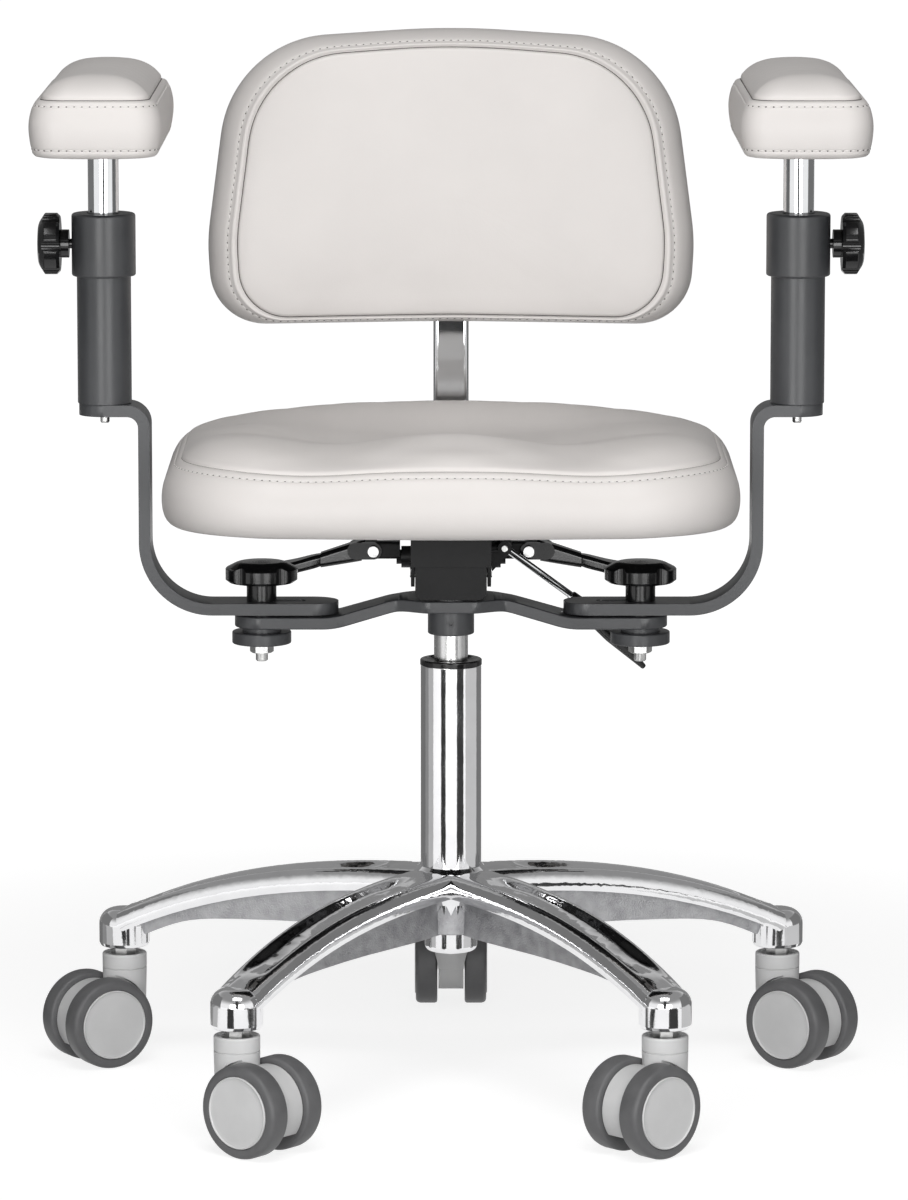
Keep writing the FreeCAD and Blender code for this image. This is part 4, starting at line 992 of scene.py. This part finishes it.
def back_ring(inset, forward):
    """Upright outline of the backrest at a depth, the sides wrapped a little towards the sitter."""
    band = min(inset, back_seam_side) / back_seam_side
    panel = max(inset - back_seam_side, 0.0)
    half_w = back_half_width - back_side_gap - inset
    top = back_high.z - band * back_seam_top - panel
    low = back_low.z + band * back_seam_low + panel
    waist = low + (top - low) * back_waist_level
    points = [
        (0.0, low + back_low_bow),
        (half_w * back_low_width, low),
        (half_w + back_waist_out, waist),
        (half_w * back_top_width, top - back_top_drop),
        (0.0, top + back_top_bow),
        (-half_w * back_top_width, top - back_top_drop),
        (-half_w - back_waist_out, waist),
        (-half_w * back_low_width, low),
    ]
    corner = back_corner - inset * back_corner_shrink
    shoulder = back_shoulder - inset * back_shoulder_shrink
    side_radii = [corner, back_waist_arc, shoulder]
    radii = [back_low_arc, *side_radii, back_top_arc, *reversed(side_radii)]
    made = []
    for p in rounded_outline(points, radii):
        wrap = back_wrap_at(p.x) * smooth_step(forward, 0.0, back_wrap_start)
        made.append(Vector((p.x, back_rear - forward - wrap, p.y)))
    return made


def back_rings():
    """Rings of the back cushion before it is blown up."""
    rings = [back_ring(inset + back_slack, forward) for inset, forward, tag in back_rows]
    last = rings[-1]
    middle = sum(last, Vector()) / len(last)
    front = back_rows[-1][1]
    for k in range(1, inner_rings):
        share = 1 - k / inner_rings
        swell = back_swell * (1 - share ** back_swell_power)
        ring = []
        for p in last:
            x = p.x * share
            y = back_rear - front - swell - back_wrap_at(x)
            z = middle.z + (p.z - middle.z) * share
            ring.append(Vector((x, y, z)))
        rings.append(ring)
    return rings


back_form = back_rings()
back_finder = KDTree(ring_points)
back_crease = back_form[[tag for inset, forward, tag in back_rows].index("crease")]
for number, point in enumerate(back_crease):
    back_finder.insert(point, number)
back_finder.balance()


def back_held(point):
    """Welt and stapled edge of the back cover."""
    distance = back_finder.find(point)[2]
    return distance < back_pin_reach or point.y > back_rear - back_staple_depth


back_lines = padded_piece("back_upholstery", back_form, "backrest", back_held, back_puff, "back_cushion")
sew("back", back_rows, back_lines, "backrest")


# Five-star base
def base_piece():
    """Cast base: polished arms, rough webs and underside."""
    mesh = nodes["star_base"].data.copy()
    piece = add_piece("star_base_casting", mesh, polished, "base")
    piece.data.materials.append(rough_cast)
    ways = [Vector((math.cos(math.radians(a)), math.sin(math.radians(a)), 0.0)) for a in arm_angles]
    for face in piece.data.polygons:
        way = max(ways, key=face.center.dot)
        across = Vector((-way.y, way.x, 0.0))
        off_web = abs(abs(face.center.dot(across)) - web_half)
        on_web = off_web < web_tolerance and abs(face.normal.dot(across)) > web_facing
        below = face.normal.z < underside_facing
        on_hub = face.center.xy.length < rough_hub_radius and face.center.z < rough_hub_top
        if on_web or below or on_hub:
            face.material_index = 1
    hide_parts("star_base")


base_piece()


# Caster wheels
def wheel_pieces(number, side):
    """Tread and covered core of one wheel, turned about its axle."""
    joint = joints["caster" + str(number) + "_roll_" + side]
    tag = "caster" + str(number) + "_wheel_" + side
    axis = Vector(joint["axis"])
    if side == "right":
        axis = -axis
    spin = axis.to_track_quat("Z", "Y").to_matrix().to_4x4()
    place = Matrix.Translation(Vector(joint["pos_m"]) + axis * (wheel_gap / 2)) @ spin
    core = wheel_radius - tread_depth
    tread_rows = [
        (core, 0.5 * mm),
        (wheel_radius - 2.2 * mm, 0.4 * mm),
        (wheel_radius - 0.7 * mm, 1.0 * mm),
        (wheel_radius, 2.4 * mm),
        (wheel_radius, wheel_width - 5.0 * mm),
        (wheel_radius - 0.4 * mm, wheel_width - 3.2 * mm),
        (wheel_radius - 1.2 * mm, wheel_width - 1.9 * mm),
        (wheel_radius - 2.2 * mm, wheel_width - 1.2 * mm),
        (wheel_radius - 3.6 * mm, wheel_width - 0.8 * mm),
        (core + 1.0 * mm, wheel_width - 0.7 * mm),
        (core + 0.4 * mm, wheel_width - 1.0 * mm),
        (core, wheel_width - 1.6 * mm),
    ]
    core_rows = [
        (4.2 * mm, 0.2 * mm),
        (8.0 * mm, 0.2 * mm),
        (8.2 * mm, 3.0 * mm),
        (core - 4.2 * mm, 3.0 * mm),
        (core - 4.0 * mm, 0.8 * mm),
        (core - 0.1 * mm, 0.8 * mm),
        (core - 0.1 * mm, wheel_width - 0.6 * mm),
        (core - 0.4 * mm, wheel_width - 0.1 * mm),
        (core - 0.8 * mm, wheel_width),
        (core - 1.2 * mm, wheel_width - 0.2 * mm),
        (core - 1.5 * mm, wheel_width - 0.7 * mm),
        (core - 1.9 * mm, wheel_width - 0.8 * mm),
        (core * 0.8, wheel_width - 0.65 * mm),
        (core * 0.5, wheel_width - 0.45 * mm),
        (core * 0.2, wheel_width - 0.35 * mm),
        (0.5 * mm, wheel_width - 0.3 * mm),
    ]
    for part, rows, material, slot in (
        ("tread", tread_rows, grey_tread, "grey_tread"),
        ("core", core_rows, grey_plastic, "grey_plastic"),
    ):
        name = tag + "_" + part
        piece = add_piece(name, turned_mesh(name, rows, place, wheel_sides), material, tag)
        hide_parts(tag)


for number in range(1, caster_count + 1):
    for side in sides:
        wheel_pieces(number, side)


# Post bolts
def post_bolt(side):
    """Threaded end of the bolt that holds the post, under the tab of the arm bar."""
    low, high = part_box("post_" + side)
    tab_low = low.z - bar_thickness
    place = Matrix.Translation(Vector(((low.x + high.x) / 2, 0.0, tab_low)))
    rows = [(bolt_radius * 0.55, 0.4 * mm), (bolt_radius, 0.4 * mm)]
    for k in range(bolt_threads):
        rows.append((bolt_radius, -k * bolt_pitch))
        rows.append((bolt_radius - 0.45 * mm, -(k + 0.5) * bolt_pitch))
    end = -bolt_threads * bolt_pitch
    rows.append((bolt_radius - 0.4 * mm, end))
    rows.append((bolt_radius - 1.0 * mm, end - 0.6 * mm))
    rows.append((0.3 * mm, end - 0.7 * mm))
    name = "post_bolt_" + side
    add_piece(name, turned_mesh(name, rows, place, bolt_sides), zinc, "arm_" + side)


for side in sides:
    post_bolt(side)


# Light, floor and camera
def is_seen(tree):
    """1 for rays from the camera, a mirror or glass, and 0 for light that falls on the object."""
    path = tree.nodes.new("ShaderNodeLightPath")
    first = tree.nodes.new("ShaderNodeMath")
    first.operation = "MAXIMUM"
    second = tree.nodes.new("ShaderNodeMath")
    second.operation = "MAXIMUM"
    tree.links.new(path.outputs["Is Camera Ray"], first.inputs[0])
    tree.links.new(path.outputs["Is Glossy Ray"], first.inputs[1])
    tree.links.new(first.outputs[0], second.inputs[0])
    tree.links.new(path.outputs["Is Transmission Ray"], second.inputs[1])
    return second.outputs[0]


def white_world(ambient, ceiling):
    """Soft ambient light, white all round and dimmer overhead in mirrors."""
    world = bpy.data.worlds.new("studio")
    scene.world = world
    world.use_nodes = True
    tree = world.node_tree
    background = tree.nodes["Background"]
    background.inputs["Color"].default_value = (1.0, 1.0, 1.0, 1.0)
    place = tree.nodes.new("ShaderNodeTexCoord")
    split = tree.nodes.new("ShaderNodeSeparateXYZ")
    tree.links.new(place.outputs["Generated"], split.inputs[0])
    dim = tree.nodes.new("ShaderNodeMapRange")
    dim.interpolation_type = "SMOOTHSTEP"
    dim.inputs["From Min"].default_value = ceiling_start
    dim.inputs["From Max"].default_value = ceiling_end
    dim.inputs["To Min"].default_value = 1.0
    dim.inputs["To Max"].default_value = ceiling
    tree.links.new(split.outputs["Z"], dim.inputs["Value"])
    level = tree.nodes.new("ShaderNodeMapRange")
    level.inputs["To Min"].default_value = ambient
    tree.links.new(dim.outputs["Result"], level.inputs["To Max"])
    tree.links.new(is_seen(tree), level.inputs["Value"])
    tree.links.new(level.outputs["Result"], background.inputs["Strength"])


def white_floor(half, bounce, shade, glow, near, far):
    """White floor that keeps a soft shadow round the chair."""
    corners = [(-half, -half, 0), (half, -half, 0), (half, half, 0), (-half, half, 0)]
    mesh = mesh_of("floor", corners, [(0, 1, 2, 3)])
    floor = bpy.data.objects.new("floor", mesh)
    scene.collection.objects.link(floor)
    made = bpy.data.materials.new("floor_paint")
    made.use_nodes = True
    tree = made.node_tree
    tree.nodes.clear()
    output = tree.nodes.new("ShaderNodeOutputMaterial")
    matt = tree.nodes.new("ShaderNodeBsdfDiffuse")
    matt.inputs["Color"].default_value = (bounce, bounce, bounce, 1.0)
    shaded = tree.nodes.new("ShaderNodeBsdfDiffuse")
    shaded.inputs["Color"].default_value = (shade, shade, shade, 1.0)
    white = tree.nodes.new("ShaderNodeEmission")
    place = tree.nodes.new("ShaderNodeTexCoord")
    reach = tree.nodes.new("ShaderNodeVectorMath")
    reach.operation = "LENGTH"
    tree.links.new(place.outputs["Object"], reach.inputs[0])
    fade = tree.nodes.new("ShaderNodeMapRange")
    fade.interpolation_type = "SMOOTHSTEP"
    fade.inputs["From Min"].default_value = near
    fade.inputs["From Max"].default_value = far
    fade.inputs["To Min"].default_value = glow
    fade.inputs["To Max"].default_value = 1.0
    tree.links.new(reach.outputs["Value"], fade.inputs["Value"])
    tree.links.new(fade.outputs["Result"], white.inputs["Strength"])
    paint = tree.nodes.new("ShaderNodeAddShader")
    tree.links.new(white.outputs[0], paint.inputs[0])
    tree.links.new(shaded.outputs[0], paint.inputs[1])
    choice = tree.nodes.new("ShaderNodeMixShader")
    tree.links.new(is_seen(tree), choice.inputs["Fac"])
    tree.links.new(matt.outputs[0], choice.inputs[1])
    tree.links.new(paint.outputs[0], choice.inputs[2])
    tree.links.new(choice.outputs[0], output.inputs["Surface"])
    mesh.materials.append(made)


def area_lamp(name, place, size, power):
    """Soft rectangular lamp that looks at the chair."""
    data = bpy.data.lights.new(name, "AREA")
    data.shape = "RECTANGLE"
    data.size = size[0]
    data.size_y = size[1]
    data.energy = power
    data.cycles.max_bounces = lamp_bounces
    lamp = bpy.data.objects.new(name, data)
    lamp.location = place
    lamp.rotation_euler = (Vector(lamp_target) - Vector(place)).to_track_quat("-Z", "Y").to_euler()
    scene.collection.objects.link(lamp)


def dark_card(name, points, grey):
    """Studio card of four corners that only mirrors see."""
    card = bpy.data.objects.new(name, mesh_of(name, points, [(0, 1, 2, 3)]))
    scene.collection.objects.link(card)
    made = bpy.data.materials.new(name)
    made.use_nodes = True
    shader = made.node_tree.nodes["Principled BSDF"]
    shader.inputs["Base Color"].default_value = (0.0, 0.0, 0.0, 1.0)
    shader.inputs["Specular IOR Level"].default_value = 0.0
    shader.inputs["Emission Color"].default_value = (1.0, 1.0, 1.0, 1.0)
    shader.inputs["Emission Strength"].default_value = grey
    card.data.materials.append(made)
    card.visible_camera = False
    card.visible_diffuse = False
    card.visible_transmission = False
    card.visible_shadow = False


def on_floor(angle, distance):
    """Place on the floor at an angle from straight in front."""
    turn = math.radians(angle)
    return (math.sin(turn) * distance, -math.cos(turn) * distance, 2.0 * mm)


def floor_card(name, start, end, grey):
    """Card that lies on the floor between two angles from straight in front."""
    near_corners = (on_floor(start, card_near), on_floor(end, card_near))
    far_corners = (on_floor(end, card_far), on_floor(start, card_far))
    dark_card(name, near_corners + far_corners, grey)


def upright_card(name, start, end, high, grey):
    """Card that stands on the floor from one place to another."""
    dark_card(name, ((*start, 0.0), (*end, 0.0), (*end, high), (*start, high)), grey)


def photo_camera():
    """Camera straight in front, a little above the seat, looking slightly down."""
    data = bpy.data.cameras.new("camera")
    data.sensor_width = 36.0
    data.lens = camera_lens
    data.shift_x = camera_shift
    data.clip_end = 100.0
    camera = bpy.data.objects.new("camera", data)
    camera.location = camera_place
    camera.rotation_euler = (math.radians(90 - camera_pitch), 0.0, 0.0)
    scene.collection.objects.link(camera)
    scene.camera = camera


white_world(ambient=0.13, ceiling=0.3)
white_floor(half=40.0, bounce=0.45, shade=0.34, glow=0.83, near=0.6, far=1.6)
for side, sign in side_signs.items():
    area_lamp("softbox_" + side, (sign * 0.88, -2.87, 0.62), (1.1, 1.2), 26.0)
area_lamp("upper_softbox", (0.0, -1.8, 3.0), (1.8, 1.2), 44.0)
floor_card("left_card", -38.0, -20.0, 0.04)
floor_card("right_card", 22.0, 48.0, 0.05)
floor_card("left_grey_card", -94.0, -70.0, 0.5)
floor_card("left_shade_card", -113.0, -94.0, 0.28)
floor_card("right_grey_card", 56.0, 112.0, 0.62)
floor_card("rear_card_left", -165.0, -113.0, 0.18)
floor_card("rear_card_right", 112.0, 165.0, 0.2)
upright_card("front_card", (-1.15, -3.9), (1.3, -3.9), card_height, 0.05)
upright_card("bar_card", (-0.45, -3.95), (0.45, -3.95), 5.0, 0.05)
upright_card("rear_card", (-2.6, 3.5), (2.6, 3.5), card_height, 0.25)
for side, sign in side_signs.items():
    upright_card("side_card_" + side, (sign * 2.6, -0.8), (sign * 2.6, 3.4), card_height, 0.2)
scene.view_settings.view_transform = "Standard"
photo_camera()
